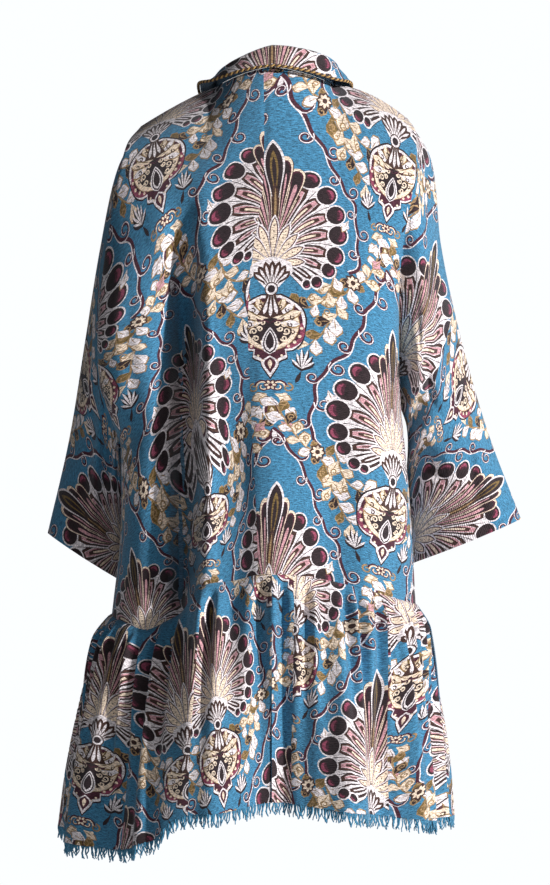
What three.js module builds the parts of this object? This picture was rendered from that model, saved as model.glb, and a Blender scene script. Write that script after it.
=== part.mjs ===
// A cocoon coat of thick chenille tapestry, in the form it has when worn: back and fronts with the wide
// sleeves cut in one with them, a turned-down collar edged with cord, and a gathered flounce with a fringe.
// Millimetres. +Z is up, the wearer faces -Y and the wearer's left is +X. The origin is the centre of the
// base of the neck, where the coat hangs from the shoulders.
import * as THREE from "three";

// Cloth and making up
const WALL = 2.6;
const SEAM_GAP = 0.3;
const FRONT_GAP = 14;
const CORD_RADIUS = 2.1;
const CORD_GAP = 0.9;
const FRINGE_LENGTH = 21;
const FRINGE_HEAD = 4;

// How finely the panels are divided
const ACROSS = 12;
const DOWN = 18;
const UNDERARM_ROW = 11;
const ALONG_SLEEVE = 12;
const FLOUNCE_ACROSS = 4 * ACROSS;
const FLOUNCE_DOWN = 7;
const COLLAR_ALONG = 10;
const CORD_SIDES = 6;

const UNDERARM = UNDERARM_ROW / DOWN;
const NECK_SHARE = 5 / ACROSS; // of a body row's top edge, the rest of which is the shoulder seam
const YOKE = 0.36; // of the body's rows, over which the shoulder's form fades

const COLOURS = {
  cloth: { color: 0x4f8fb8, roughness: 0.9, metalness: 0 },
  cord: { color: 0x7a6238, roughness: 0.6, metalness: 0.2 },
  fringe: { color: 0x2f7296, roughness: 0.95, metalness: 0 },
};

// Where the neck seam meets the shoulder seam on each side
const NECK_POINT = { right: { out: 79, y: 2, z: 14 }, left: { out: 70, y: 2, z: 12 } };

// The middle line of the back and of the fronts, from the neck seam at 0 to the flounce seam at 1
const CENTRE = {
  back: [
    { at: 0.0, y: 58, z: 31 },
    { at: 0.09, y: 88, z: -32 },
    { at: 0.22, y: 118, z: -122 },
    { at: 0.42, y: 130, z: -255 },
    { at: 0.7, y: 140, z: -435 },
    { at: 1.0, y: 152, z: -634 },
  ],
  front: [
    { at: 0.0, y: -82, z: -62 },
    { at: 0.09, y: -104, z: -108 },
    { at: 0.22, y: -126, z: -178 },
    { at: 0.42, y: -140, z: -285 },
    { at: 0.7, y: -142, z: -450 },
    { at: 1.0, y: -148, z: -640 },
  ],
};

// How each body row runs from the middle to its end: wrap is the part of a quarter ellipse that it takes,
// in degrees, and corner is under 1 where the row keeps flat and then turns in sharply.
const ROW_FORM = [
  { at: 0.0, wrap: 62, corner: 1.0 },
  { at: 0.2, wrap: 58, corner: 1.0 },
  { at: 0.36, wrap: 84, corner: 0.8 },
  { at: 0.61, wrap: 90, corner: 0.72 },
  { at: 1.0, wrap: 90, corner: 0.92 },
];

// Each side: the line where sleeve and body part, from the shoulder at 0 to the underarm at 1, the side
// seam below it, and the rings of the sleeve from the upper arm to the cuff. Out is the distance from the
// middle plane. The right arm hangs a little back, and the left one forward with its cloth draped from the
// elbow.
const SIDES = {
  right: {
    sign: -1,
    shoulder_curve: 1.9,
    armhole: {
      back: [
        { at: 0.0, out: 182, y: -5, z: -31 },
        { at: 0.14, out: 191, y: 46, z: -58 },
        { at: 0.32, out: 185, y: 90, z: -130 },
        { at: 0.55, out: 170, y: 76, z: -226 },
        { at: 0.78, out: 168, y: 50, z: -326 },
        { at: 1.0, out: 172, y: 0, z: -418 },
      ],
      front: [
        { at: 0.0, out: 182, y: -5, z: -31 },
        { at: 0.14, out: 184, y: -50, z: -60 },
        { at: 0.32, out: 174, y: -88, z: -134 },
        { at: 0.55, out: 163, y: -82, z: -230 },
        { at: 0.78, out: 163, y: -56, z: -328 },
        { at: 1.0, out: 172, y: 0, z: -418 },
      ],
    },
    side_seam: [
      { at: 0.0, out: 172, y: 0, z: -418 },
      { at: 0.5, out: 184, y: 4, z: -545 },
      { at: 1.0, out: 192, y: 4, z: -680 },
    ],
    rings: [
      { at: 0.12, over_out: 214, over_y: -8, over_z: -88, under_out: 180, under_y: -4, under_z: -442, back: 92, front: 84 },
      { at: 0.3, over_out: 227, over_y: -12, over_z: -200, under_out: 183, under_y: -30, under_z: -474, back: 90, front: 78 },
      { at: 0.55, over_out: 254, over_y: -18, over_z: -324, under_out: 181, under_y: -62, under_z: -524, back: 78, front: 64 },
      { at: 0.78, over_out: 290, over_y: -26, over_z: -448, under_out: 180, under_y: -84, under_z: -580, back: 64, front: 56 },
      { at: 1.0, over_out: 336, over_y: -34, over_z: -568, under_out: 180, under_y: -94, under_z: -634, back: 54, front: 50 },
    ],
    hem: { out: 230, z: -966 },
  },
  left: {
    sign: 1,
    shoulder_curve: 1.25,
    armhole: {
      back: [
        { at: 0.0, out: 176, y: -5, z: -41 },
        { at: 0.14, out: 194, y: 42, z: -74 },
        { at: 0.32, out: 210, y: 66, z: -156 },
        { at: 0.55, out: 226, y: 60, z: -264 },
        { at: 0.78, out: 230, y: 34, z: -374 },
        { at: 1.0, out: 203, y: -20, z: -470 },
      ],
      front: [
        { at: 0.0, out: 176, y: -5, z: -41 },
        { at: 0.14, out: 182, y: -56, z: -70 },
        { at: 0.32, out: 172, y: -98, z: -144 },
        { at: 0.55, out: 166, y: -102, z: -252 },
        { at: 0.78, out: 174, y: -76, z: -364 },
        { at: 1.0, out: 203, y: -20, z: -470 },
      ],
    },
    side_seam: [
      { at: 0.0, out: 203, y: -20, z: -470 },
      { at: 0.5, out: 202, y: 0, z: -580 },
      { at: 1.0, out: 214, y: 4, z: -694 },
    ],
    rings: [
      { at: 0.12, over_out: 208, over_y: -16, over_z: -98, under_out: 206, under_y: -28, under_z: -490, back: 76, front: 84 },
      { at: 0.3, over_out: 231, over_y: -24, over_z: -200, under_out: 202, under_y: -50, under_z: -522, back: 74, front: 76 },
      { at: 0.55, over_out: 253, over_y: -38, over_z: -330, under_out: 196, under_y: -76, under_z: -568, back: 60, front: 64 },
      { at: 0.78, over_out: 275, over_y: -52, over_z: -460, under_out: 190, under_y: -98, under_z: -616, back: 54, front: 58 },
      { at: 1.0, over_out: 305, over_y: -62, over_z: -588, under_out: 188, under_y: -104, under_z: -664, back: 50, front: 54 },
    ],
    hem: { out: 278, z: -986 },
  },
};

// Folds that run down the body, moved in or out along Y. Place is the distance from the middle plane at the
// fold's top and bottom, negative on the wearer's right; inner and outer are its walls' widths towards and
// away from the middle; start and full are body rows, from 0 to 1; lower is the share of the depth left at
// the flounce seam, and drop is how far the fold lets that seam down.
const BODY_FOLDS = {
  back: [
    { place_top: 108, place_low: 122, inner: 18, outer: 46, start: 0.2, full: 0.5, depth: -48, lower: 1, drop: 30 },
    { place_top: 160, place_low: 168, inner: 30, outer: 34, start: 0.5, full: 0.9, depth: 8, lower: 1, drop: 24 },
    { place_top: 12, place_low: 2, inner: 30, outer: 30, start: 0.45, full: 0.8, depth: 9, lower: 1, drop: 0 },
    { place_top: 58, place_low: 50, inner: 22, outer: 24, start: 0.4, full: 0.8, depth: -9, lower: 1, drop: 4 },
    { place_top: -70, place_low: -78, inner: 26, outer: 30, start: 0.5, full: 0.9, depth: -11, lower: 1, drop: 0 },
    { place_top: -128, place_low: -130, inner: 24, outer: 22, start: 0.35, full: 0.7, depth: 9, lower: 0.8, drop: 0 },
  ],
  front: [
    { place_top: 84, place_low: 96, inner: 24, outer: 34, start: 0.25, full: 0.6, depth: 20, lower: 1, drop: 0 },
    { place_top: -88, place_low: -98, inner: 24, outer: 34, start: 0.25, full: 0.6, depth: 20, lower: 1, drop: 0 },
    { place_top: 40, place_low: 46, inner: 20, outer: 22, start: 0.5, full: 0.9, depth: -10, lower: 1, drop: 0 },
    { place_top: -42, place_low: -50, inner: 20, outer: 22, start: 0.5, full: 0.9, depth: -10, lower: 1, drop: 0 },
  ],
};

// Creases where the sleeve crumples at the elbow: places along the sleeve (b) and round it from the overarm
// seam (t), both from 0 to 1, with the half width across the crease and its depth along Y.
const SLEEVE_CREASES = {
  right: [
    { b_from: 0.1, t_from: 0.8, b_to: 0.34, t_to: 0.62, width: 0.075, depth: 16 },
    { b_from: 0.24, t_from: 0.95, b_to: 0.5, t_to: 0.52, width: 0.06, depth: -20 },
    { b_from: 0.38, t_from: 0.98, b_to: 0.6, t_to: 0.5, width: 0.05, depth: 13 },
    { b_from: 0.5, t_from: 1.0, b_to: 0.72, t_to: 0.55, width: 0.05, depth: -13 },
    { b_from: 0.42, t_from: 0.12, b_to: 1.0, t_to: 0.2, width: 0.1, depth: 5 },
  ],
  left: [
    { b_from: 0.45, t_from: 0.42, b_to: 1.0, t_to: 0.44, width: 0.06, depth: 8 },
    { b_from: 0.4, t_from: 0.62, b_to: 0.9, t_to: 0.66, width: 0.08, depth: -8 },
    { b_from: 0.1, t_from: 0.25, b_to: 0.45, t_to: 0.3, width: 0.09, depth: -6 },
  ],
};

// The flounce: its hem, and the flutes that its gathers fall into. A flute's place is an angle from the
// middle of the back, positive towards the wearer's right.
const HEM = { back_y: 196, front_y: -186, back_z: -928, front_z: -944 };
const GATHERS = 12; // in each quarter of the seam
const FLUTES = [
  { angle: -158, width: 13, out: 20 },
  { angle: -132, width: 12, out: -16 },
  { angle: -108, width: 13, out: 20 },
  { angle: -86, width: 11, out: -18 },
  { angle: -66, width: 12, out: 16 },
  { angle: -49, width: 8, out: -20 },
  { angle: -35, width: 9, out: 12 },
  { angle: -17, width: 10, out: 22 },
  { angle: 4, width: 12, out: -32 },
  { angle: 24, width: 11, out: 24 },
  { angle: 40, width: 7, out: -24 },
  { angle: 55, width: 9, out: 22 },
  { angle: 78, width: 11, out: -18 },
  { angle: 101, width: 13, out: 20 },
  { angle: 126, width: 12, out: -16 },
  { angle: 152, width: 13, out: 20 },
];

// The collar's section round the neck, from the nape at 0 to its front end at 1: the roll line stands up
// from the neck seam, and the fall turns down to its edge.
const COLLAR = [
  { at: 0.0, roll_up: 29, roll_out: -5, edge_up: 2, edge_out: 16, forward: 0 },
  { at: 0.15, roll_up: 28, roll_out: -5, edge_up: 2, edge_out: 17, forward: 0 },
  { at: 0.3, roll_up: 26, roll_out: -4, edge_up: 1, edge_out: 20, forward: 0 },
  { at: 0.5, roll_up: 20, roll_out: -2, edge_up: 3, edge_out: 26, forward: 0 },
  { at: 0.75, roll_up: 20, roll_out: 3, edge_up: -18, edge_out: 34, forward: 6 },
  { at: 1.0, roll_up: 14, roll_out: 9, edge_up: -44, edge_out: 46, forward: 8 },
];
const COLLAR_TILT = 8; // how much higher the collar stands on the wearer's right, and lower on the left
const ROLL_RADIUS = 6.5;

const FACES = ["back", "front"];
const degrees = Math.PI / 180;
const mix = (a, b, share) => a + (b - a) * share;

function smooth(from, to, value) {
  const t = THREE.MathUtils.clamp((value - from) / (to - from), 0, 1);
  return t * t * (3 - 2 * t);
}

// Every column of a table at a place between its rows, on a smooth curve through them.
function read(table, at) {
  let i = 0;
  while (i < table.length - 2 && at > table[i + 1].at) i++;
  const [a, b] = [table[i], table[i + 1]];
  const [before, after] = [table[i - 1] ?? a, table[i + 2] ?? b];
  const span = b.at - a.at;
  const t = (at - a.at) / span;
  const found = {};
  for (const name of Object.keys(a)) {
    const leave = ((b[name] - before[name]) / (b.at - before.at)) * span;
    const arrive = ((after[name] - a[name]) / (after.at - a.at)) * span;
    const bend = (1 - t) * (leave - (b[name] - a[name])) - t * (arrive - (b[name] - a[name]));
    found[name] = mix(a[name], b[name], t) + t * (1 - t) * bend;
  }
  return found;
}

const point = (side, out, y, z) => new THREE.Vector3(SIDES[side].sign * out, y, z);

// The end of a body row: on the armhole down to the underarm, and on the side seam below it.
function rowEnd(side, face, v) {
  return v <= UNDERARM
    ? read(SIDES[side].armhole[face], v / UNDERARM)
    : read(SIDES[side].side_seam, (v - UNDERARM) / (1 - UNDERARM));
}

const middleOut = (face) => (face === "front" ? FRONT_GAP / 2 : 0);

// A body row as an arc from the middle line to its end.
function rowArc(side, face, u, v) {
  const middle = read(CENTRE[face], v);
  const end = rowEnd(side, face, v);
  const { wrap, corner } = read(ROW_FORM, v);
  const full = wrap * degrees;
  const turn = u * full;
  const across = (Math.sin(turn) / Math.sin(full)) ** corner;
  const inward = ((Math.cos(turn) - Math.cos(full)) / (1 - Math.cos(full))) ** corner;
  return {
    out: mix(middleOut(face), end.out, across),
    y: mix(end.y, middle.y, inward),
    z: mix(middle.z, end.z, across ** 1.6),
  };
}

// The top edge of a body panel: the neck seam, and then the shoulder seam.
function topEdge(side, face, u) {
  const [middle, neck] = [read(CENTRE[face], 0), NECK_POINT[side]];
  if (u < NECK_SHARE) {
    const turn = (u / NECK_SHARE) * 90 * degrees;
    return {
      out: mix(middleOut(face), neck.out, Math.sin(turn)),
      y: mix(neck.y, middle.y, Math.cos(turn)),
      z: mix(middle.z, neck.z, Math.sin(turn) ** 1.4),
    };
  }
  const end = rowEnd(side, face, 0);
  const share = (u - NECK_SHARE) / (1 - NECK_SHARE);
  return {
    out: mix(neck.out, end.out, share),
    y: mix(neck.y, end.y, share),
    z: mix(neck.z, end.z, share ** SIDES[side].shoulder_curve),
  };
}

// How far the folds move the body along Y, and how far they let it down.
function foldAt(side, face, out, v) {
  const moved = { y: 0, z: 0 };
  for (const fold of BODY_FOLDS[face]) {
    const place = mix(fold.place_top, fold.place_low, v);
    const away = (SIDES[side].sign * out - place) * Math.sign(place);
    const width = away < 0 ? fold.inner : fold.outer;
    const amount = smooth(fold.start, fold.full, v) * mix(1, fold.lower, v);
    const near = Math.exp(-((away / width) ** 2));
    moved.y += fold.depth * amount * near;
    moved.z -= fold.drop * smooth(0.55, 1, v) * near;
  }
  return moved;
}

function bodyPoint(side, face, u, v) {
  const arc = rowArc(side, face, u, v);
  const fade = Math.max(1 - v / YOKE, 0) ** 3;
  const [top, flat] = [topEdge(side, face, u), rowArc(side, face, u, 0)];
  const out = arc.out + (top.out - flat.out) * fade;
  const fold = foldAt(side, face, out, v);
  const free = smooth(1, 0.8, u);
  const y = arc.y + (top.y - flat.y) * fade + fold.y * free;
  return point(side, out, y, arc.z + (top.z - flat.z) * fade + fold.z * free);
}

// How far the creases move the sleeve along Y.
function creaseDepth(side, b, t) {
  let moved = 0;
  for (const crease of SLEEVE_CREASES[side]) {
    const [along, round] = [crease.b_to - crease.b_from, crease.t_to - crease.t_from];
    const [p, q] = [b - crease.b_from, t - crease.t_from];
    const length = Math.hypot(along, round);
    const share = THREE.MathUtils.clamp((p * along + q * round) / length ** 2, 0, 1);
    const away = Math.hypot(p - share * along, q - share * round);
    moved += crease.depth * Math.sin(Math.PI * mix(0.15, 0.9, share)) * Math.exp(-((away / crease.width) ** 2));
  }
  return moved;
}

// A ring of the sleeve runs from the overarm seam (t = 0) to the underarm seam (t = 1).
function ringPoint(ring, face, t) {
  const bulge = Math.sin(Math.PI * t) ** 0.7 * (face === "back" ? ring.back : -ring.front);
  return {
    out: mix(ring.over_out, ring.under_out, t),
    y: mix(ring.over_y, ring.under_y, t) + bulge,
    z: mix(ring.over_z, ring.under_z, t),
  };
}

function sleevePoint(side, face, b, t) {
  const rings = SIDES[side].rings.map((ring) => ({ at: ring.at, ...ringPoint(ring, face, t) }));
  const { out, y, z } = read([{ ...read(SIDES[side].armhole[face], t), at: 0 }, ...rings], b);
  const free = smooth(0, 0.12, t) * smooth(1, 0.94, t) * smooth(0, 0.15, b);
  const outward = face === "back" ? 1 : -0.7;
  return point(side, out, y + outward * free * creaseDepth(side, b, t), z);
}

// The angle of a place on the flounce, from the middle of the back and positive to the wearer's right.
function angleOf(side, face, u) {
  return (face === "back" ? u * 90 : 180 - u * 90) * -SIDES[side].sign;
}

function fluteDepth(angle) {
  let moved = 0;
  for (const flute of FLUTES) moved += flute.out * Math.exp(-(((angle - flute.angle) / flute.width) ** 2));
  return moved;
}

// The flounce seam, straight between the body's columns.
function seamPoint(side, face, u) {
  const column = Math.min(Math.floor(u * ACROSS), ACROSS - 1);
  const [a, b] = [bodyPoint(side, face, column / ACROSS, 1), bodyPoint(side, face, (column + 1) / ACROSS, 1)];
  return a.lerp(b, u * ACROSS - column);
}

function flouncePoint(side, face, u, v) {
  const seam = seamPoint(side, face, u);
  const [turn, hem] = [u * 90 * degrees, SIDES[side].hem];
  const hemOut = mix(middleOut(face), hem.out, Math.sin(turn));
  const hemY = (face === "back" ? HEM.back_y : HEM.front_y) * Math.cos(turn);
  const fallen = 0.8 * foldAt(side, face, Math.abs(seam.x), 1).z * smooth(1, 0.8, u);
  const hemZ = mix(face === "back" ? HEM.back_z : HEM.front_z, hem.z, Math.sin(turn) ** 1.5) + fallen;
  const low = point(side, hemOut, hemY, hemZ);
  const spread = v ** 0.55;
  const base = new THREE.Vector3(mix(seam.x, low.x, spread), mix(seam.y, low.y, spread), mix(seam.z, low.z, v));
  const outward = new THREE.Vector3(low.x / hem.out, low.y / Math.abs(HEM.back_y), 0).normalize();
  const gather = Math.cos(2 * Math.PI * GATHERS * u) * 6.5 * smooth(0, 0.12, v) * mix(1, 0.2, smooth(0.1, 0.9, v));
  const flute = fluteDepth(angleOf(side, face, u)) * smooth(0.02, 0.85, v);
  const open = smooth(0, 0.06, face === "front" ? u : 1);
  base.addScaledVector(outward, gather * open + flute);
  return base;
}

// A grid of points, as rows of columns, with its faces turned to look out of the garment.
function grid(across, down, place, outward) {
  const rows = [];
  for (let j = 0; j <= down; j++) {
    rows.push([]);
    for (let i = 0; i <= across; i++) rows[j].push(place(i / across, j / down));
  }
  return { rows, outward };
}

// Which way round a grid's faces look out: the wearer's left back turns as the right front does.
const looksOut = (side, face) => (side === "right") === (face === "back");

function bodyGrid(side, face) {
  return grid(ACROSS, DOWN, (u, v) => bodyPoint(side, face, u, v), looksOut(side, face));
}

function sleeveGrid(side, face) {
  return grid(ALONG_SLEEVE, UNDERARM_ROW, (b, t) => sleevePoint(side, face, b, t), looksOut(side, face));
}

function flounceGrid(side, face) {
  return grid(FLOUNCE_ACROSS, FLOUNCE_DOWN, (u, v) => flouncePoint(side, face, u, v), looksOut(side, face));
}

const keyOf = (p) => [p.x, p.y, p.z].map((n) => Math.round(n * 100)).join();

// Grids joined where their points meet: the points, and the corners of each face.
function joined(grids) {
  const [points, faces, found] = [[], [], new Map()];
  const number = (p) => {
    const key = keyOf(p);
    if (!found.has(key)) found.set(key, points.push(p.clone()) - 1);
    return found.get(key);
  };
  for (const { rows, outward } of grids) {
    const ids = rows.map((row) => row.map(number));
    for (let j = 0; j + 1 < ids.length; j++) {
      for (let i = 0; i + 1 < ids[j].length; i++) {
        const round = [ids[j][i], ids[j + 1][i], ids[j + 1][i + 1], ids[j][i + 1]];
        const corners = (outward ? round : round.reverse()).filter((id, n, all) => all.indexOf(id) === n);
        if (corners.length > 2) faces.push(corners);
      }
    }
  }
  return { points, faces };
}

function faceNormal(points, [a, b, c, d]) {
  const across = points[c].clone().sub(points[a]);
  const other = points[d ?? a].clone().sub(points[b]);
  return across.cross(other);
}

// The outward direction at every point of a surface, kept by the point's place so that panels share it.
function directions(surface) {
  const found = new Map();
  for (const face of surface.faces) {
    const normal = faceNormal(surface.points, face);
    for (const id of face) {
      const key = keyOf(surface.points[id]);
      if (!found.has(key)) found.set(key, new THREE.Vector3());
      found.get(key).add(normal);
    }
  }
  for (const direction of found.values()) direction.normalize();
  return found;
}

// The edges that belong to one face only, each as it runs round that face.
function rim(faces) {
  const edges = new Map();
  for (const face of faces) {
    face.forEach((a, n) => {
      const b = face[(n + 1) % face.length];
      const key = Math.min(a, b) + "," + Math.max(a, b);
      if (edges.has(key)) edges.delete(key);
      else edges.set(key, { a, b, face });
    });
  }
  return [...edges.values()];
}

// A cloth wall with the surface as its outer side. Its rim is taken in by half the seam's gap.
function wall(surface, outwards, thickness = WALL) {
  const { points, faces } = surface;
  const edges = rim(faces);
  const inset = points.map(() => new THREE.Vector3());
  for (const { a, b, face } of edges) {
    const along = points[b].clone().sub(points[a]);
    const inward = faceNormal(points, face).normalize().cross(along).normalize();
    inset[a].add(inward);
    inset[b].add(inward);
  }
  const mitre = inset.map((sum) => SEAM_GAP / Math.max(sum.lengthSq(), 0.2));
  const outer = points.map((p, n) => p.clone().addScaledVector(inset[n], mitre[n]));
  const inner = outer.map((p, n) => p.clone().addScaledVector(outwards.get(keyOf(points[n])), -thickness));
  const all = [...outer, ...inner];
  const count = points.length;
  const triangles = [];
  for (const face of faces) {
    for (let n = 1; n + 1 < face.length; n++) {
      triangles.push(face[0], face[n], face[n + 1]);
      triangles.push(count + face[0], count + face[n + 1], count + face[n]);
    }
  }
  // Each strip of the rim is split from its upper outer corner, so that two panels match along their seam.
  for (const { a, b } of edges) {
    if (points[a].z > points[b].z) triangles.push(a, count + a, count + b, a, count + b, b);
    else triangles.push(a, count + a, b, count + a, count + b, b);
  }
  return geometryOf(all, triangles);
}

function geometryOf(points, triangles) {
  const geometry = new THREE.BufferGeometry();
  geometry.setAttribute("position", new THREE.Float32BufferAttribute(points.flatMap((p) => p.toArray()), 3));
  geometry.setIndex(triangles);
  geometry.computeVertexNormals();
  return geometry;
}

function piece(name, geometry, colours) {
  const mesh = new THREE.Mesh(geometry, new THREE.MeshStandardMaterial(colours));
  mesh.name = name;
  return mesh;
}

// Back and fronts, each cut in one with its half of the sleeve.
function panels() {
  const cuts = Object.keys(SIDES).flatMap((side) =>
    FACES.map((face) => ({ name: `${face}_${side}`, grids: [bodyGrid(side, face), sleeveGrid(side, face)] })),
  );
  const outwards = directions(joined(cuts.flatMap(({ grids }) => grids)));
  return cuts.map(({ name, grids }) => piece(name, wall(joined(grids), outwards), COLOURS.cloth));
}

// The flounce, one length across the back and one for each front, and the fringe under each.
function flounces() {
  const grids = {};
  for (const side of Object.keys(SIDES)) for (const face of FACES) grids[face + side] = flounceGrid(side, face);
  const { backright, backleft, frontright, frontleft } = grids;
  const outwards = directions(joined(Object.values(grids)));
  const hem = ({ rows }) => rows.at(-1);
  const cuts = [
    { name: "back", grids: [backright, backleft], edge: [...hem(backleft).toReversed(), ...hem(backright).slice(1)] },
    { name: "front_right", grids: [frontright], edge: hem(frontright).toReversed() },
    { name: "front_left", grids: [frontleft], edge: hem(frontleft) },
  ];
  return cuts.flatMap((cut, n) => [
    piece(`flounce_${cut.name}`, wall(joined(cut.grids), outwards), COLOURS.cloth),
    piece(`fringe_${cut.name}`, fringe(cut.edge, outwards, 7 * n), COLOURS.fringe),
  ]);
}

// A fringe: a narrow head just under the cloth's edge, with a lock hanging from each part of it. The edge
// runs from left to right as seen from outside.
function fringe(edge, outwards, seed) {
  const points = [];
  const triangles = [];
  const quad = (a, b, c, d) => triangles.push(a, b, c, a, c, d);
  edge.forEach((at, n) => {
    const [next, inset] = [edge[n + 1] ?? edge[n - 1], n === 0 || n === edge.length - 1 ? 0.4 : 0];
    const start = at.clone().addScaledVector(next.clone().sub(at).normalize(), inset);
    for (const drop of [SEAM_GAP, FRINGE_HEAD]) {
      for (const depth of [0, WALL]) {
        const place = start.clone().addScaledVector(outwards.get(keyOf(at)), -depth);
        points.push(place.setZ(place.z - drop));
      }
    }
  });
  for (let n = 0; n + 1 < edge.length; n++) {
    const [a, b] = [4 * n, 4 * n + 4];
    quad(a, a + 2, b + 2, b);
    quad(a + 1, b + 1, b + 3, a + 3);
    quad(a, b, b + 1, a + 1);
    lock(points, quad, [a + 2, a + 3, b + 3, b + 2], Math.sin((n + seed) * 12.9898));
  }
  const last = 4 * (edge.length - 1);
  quad(0, 1, 3, 2);
  quad(last, last + 2, last + 3, last + 1);
  return geometryOf(points, triangles);
}

// One lock of the fringe, tapering from its four root corners.
function lock(points, quad, root, uneven) {
  const middle = new THREE.Vector3();
  for (const id of root) middle.addScaledVector(points[id], 1 / root.length);
  const tips = root.map((id) => {
    const tip = points[id].clone().lerp(middle, 0.34);
    tip.x += uneven * 1.2;
    tip.z -= (FRINGE_LENGTH - FRINGE_HEAD) * (1 + 0.14 * uneven);
    return points.push(tip) - 1;
  });
  root.forEach((id, k) => {
    const next = (k + 1) % root.length;
    quad(id, root[next], tips[next], tips[k]);
  });
  quad(...tips);
}

// The neck seam from the nape (c = 0) to the front end (c = 1) on one side.
function neckSeam(side, c) {
  const [face, u] = c < 0.5 ? ["back", c * 2] : ["front", 2 - c * 2];
  const { out, y, z } = topEdge(side, face, u * NECK_SHARE * 0.9999);
  return point(side, out, y, z);
}

// The collar's section at c: up the stand, over the roll and down the fall to its edge.
function collarSection(side, c) {
  const seam = neckSeam(side, c);
  const form = read(COLLAR, c);
  form.roll_up -= SIDES[side].sign * COLLAR_TILT * Math.sin(Math.PI * c);
  const away = new THREE.Vector3(seam.x, seam.y * 0.9, 0).normalize();
  const at = (out, up) =>
    seam.clone().addScaledVector(away, out).add(new THREE.Vector3(0, -form.forward * Math.max(out, 0) / 40, up));
  const over = form.roll_out + 2 * ROLL_RADIUS;
  return [
    at(0, SEAM_GAP),
    at(form.roll_out * 0.5, form.roll_up * 0.45),
    at(form.roll_out, form.roll_up - ROLL_RADIUS),
    at(form.roll_out + ROLL_RADIUS * 0.3, form.roll_up - ROLL_RADIUS * 0.3),
    at(form.roll_out + ROLL_RADIUS, form.roll_up),
    at(form.roll_out + ROLL_RADIUS * 1.7, form.roll_up - ROLL_RADIUS * 0.3),
    at(over, form.roll_up - ROLL_RADIUS),
    at(mix(over, form.edge_out, 0.55), mix(form.roll_up - ROLL_RADIUS, form.edge_up, 0.5)),
    at(form.edge_out, form.edge_up),
  ];
}

const collarStations = () => {
  const stations = [];
  for (let n = -COLLAR_ALONG; n <= COLLAR_ALONG; n++) {
    stations.push({ side: n < 0 ? "right" : "left", c: Math.abs(n) / COLLAR_ALONG });
  }
  return stations;
};

function collar() {
  const sections = collarStations().map(({ side, c }) => collarSection(side, c));
  const rows = sections[0].map((_, j) => sections.map((section) => section[j]));
  const surface = joined([{ rows, outward: true }]);
  return wall(surface, directions(surface));
}

// The cord along the collar's edge.
function collarCord() {
  const path = collarStations().map(({ side, c }) => {
    const section = collarSection(side, c);
    const [before, edge] = section.slice(-2);
    const down = edge.clone().sub(before).normalize();
    return edge.clone().addScaledVector(down, CORD_RADIUS + CORD_GAP);
  });
  const line = new THREE.CatmullRomCurve3(path);
  const ring = new THREE.Shape();
  for (let n = 0; n < CORD_SIDES; n++) {
    const turn = (2 * Math.PI * n) / CORD_SIDES;
    ring[n ? "lineTo" : "moveTo"](CORD_RADIUS * Math.cos(turn), CORD_RADIUS * Math.sin(turn));
  }
  ring.closePath();
  return new THREE.ExtrudeGeometry(ring, { steps: 40, extrudePath: line, bevelEnabled: false });
}

const coat = new THREE.Group();
coat.add(...panels(), ...flounces());
coat.add(piece("collar", collar(), COLOURS.cloth));
coat.add(piece("collar_cord", collarCord(), COLOURS.cord));

export default coat;
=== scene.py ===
"""A cocoon coat of thick blue chenille tapestry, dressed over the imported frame. Lengths are millimetres until
a mesh is made, and then metres. The surfaces follow the same named values as the CAD source, with finer
creases, and the woven ornament is drawn here as plain outlines in the cloth's own flat coordinates."""
import math

import bpy
import numpy as np
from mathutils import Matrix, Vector
from mathutils.bvhtree import BVHTree
from mathutils.kdtree import KDTree
from mathutils.geometry import delaunay_2d_cdt


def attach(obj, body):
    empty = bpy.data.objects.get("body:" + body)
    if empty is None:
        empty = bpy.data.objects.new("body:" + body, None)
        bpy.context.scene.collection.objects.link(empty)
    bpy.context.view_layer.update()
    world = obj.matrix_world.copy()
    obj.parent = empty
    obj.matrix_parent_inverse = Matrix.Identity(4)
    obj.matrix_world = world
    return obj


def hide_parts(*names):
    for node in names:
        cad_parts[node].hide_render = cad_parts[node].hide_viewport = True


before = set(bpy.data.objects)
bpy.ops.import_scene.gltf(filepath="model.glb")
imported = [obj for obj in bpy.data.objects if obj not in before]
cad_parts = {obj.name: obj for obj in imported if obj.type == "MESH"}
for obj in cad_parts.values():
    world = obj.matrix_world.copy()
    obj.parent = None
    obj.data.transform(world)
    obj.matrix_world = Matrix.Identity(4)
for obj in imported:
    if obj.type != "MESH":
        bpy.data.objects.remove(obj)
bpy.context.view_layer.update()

MM = 0.001
WALL = 2.6
UNDERARM = 11 / 18
NECK_SHARE = 5 / 12
YOKE = 0.36
FRONT_GAP = 14
FACES = ("back", "front")

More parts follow.
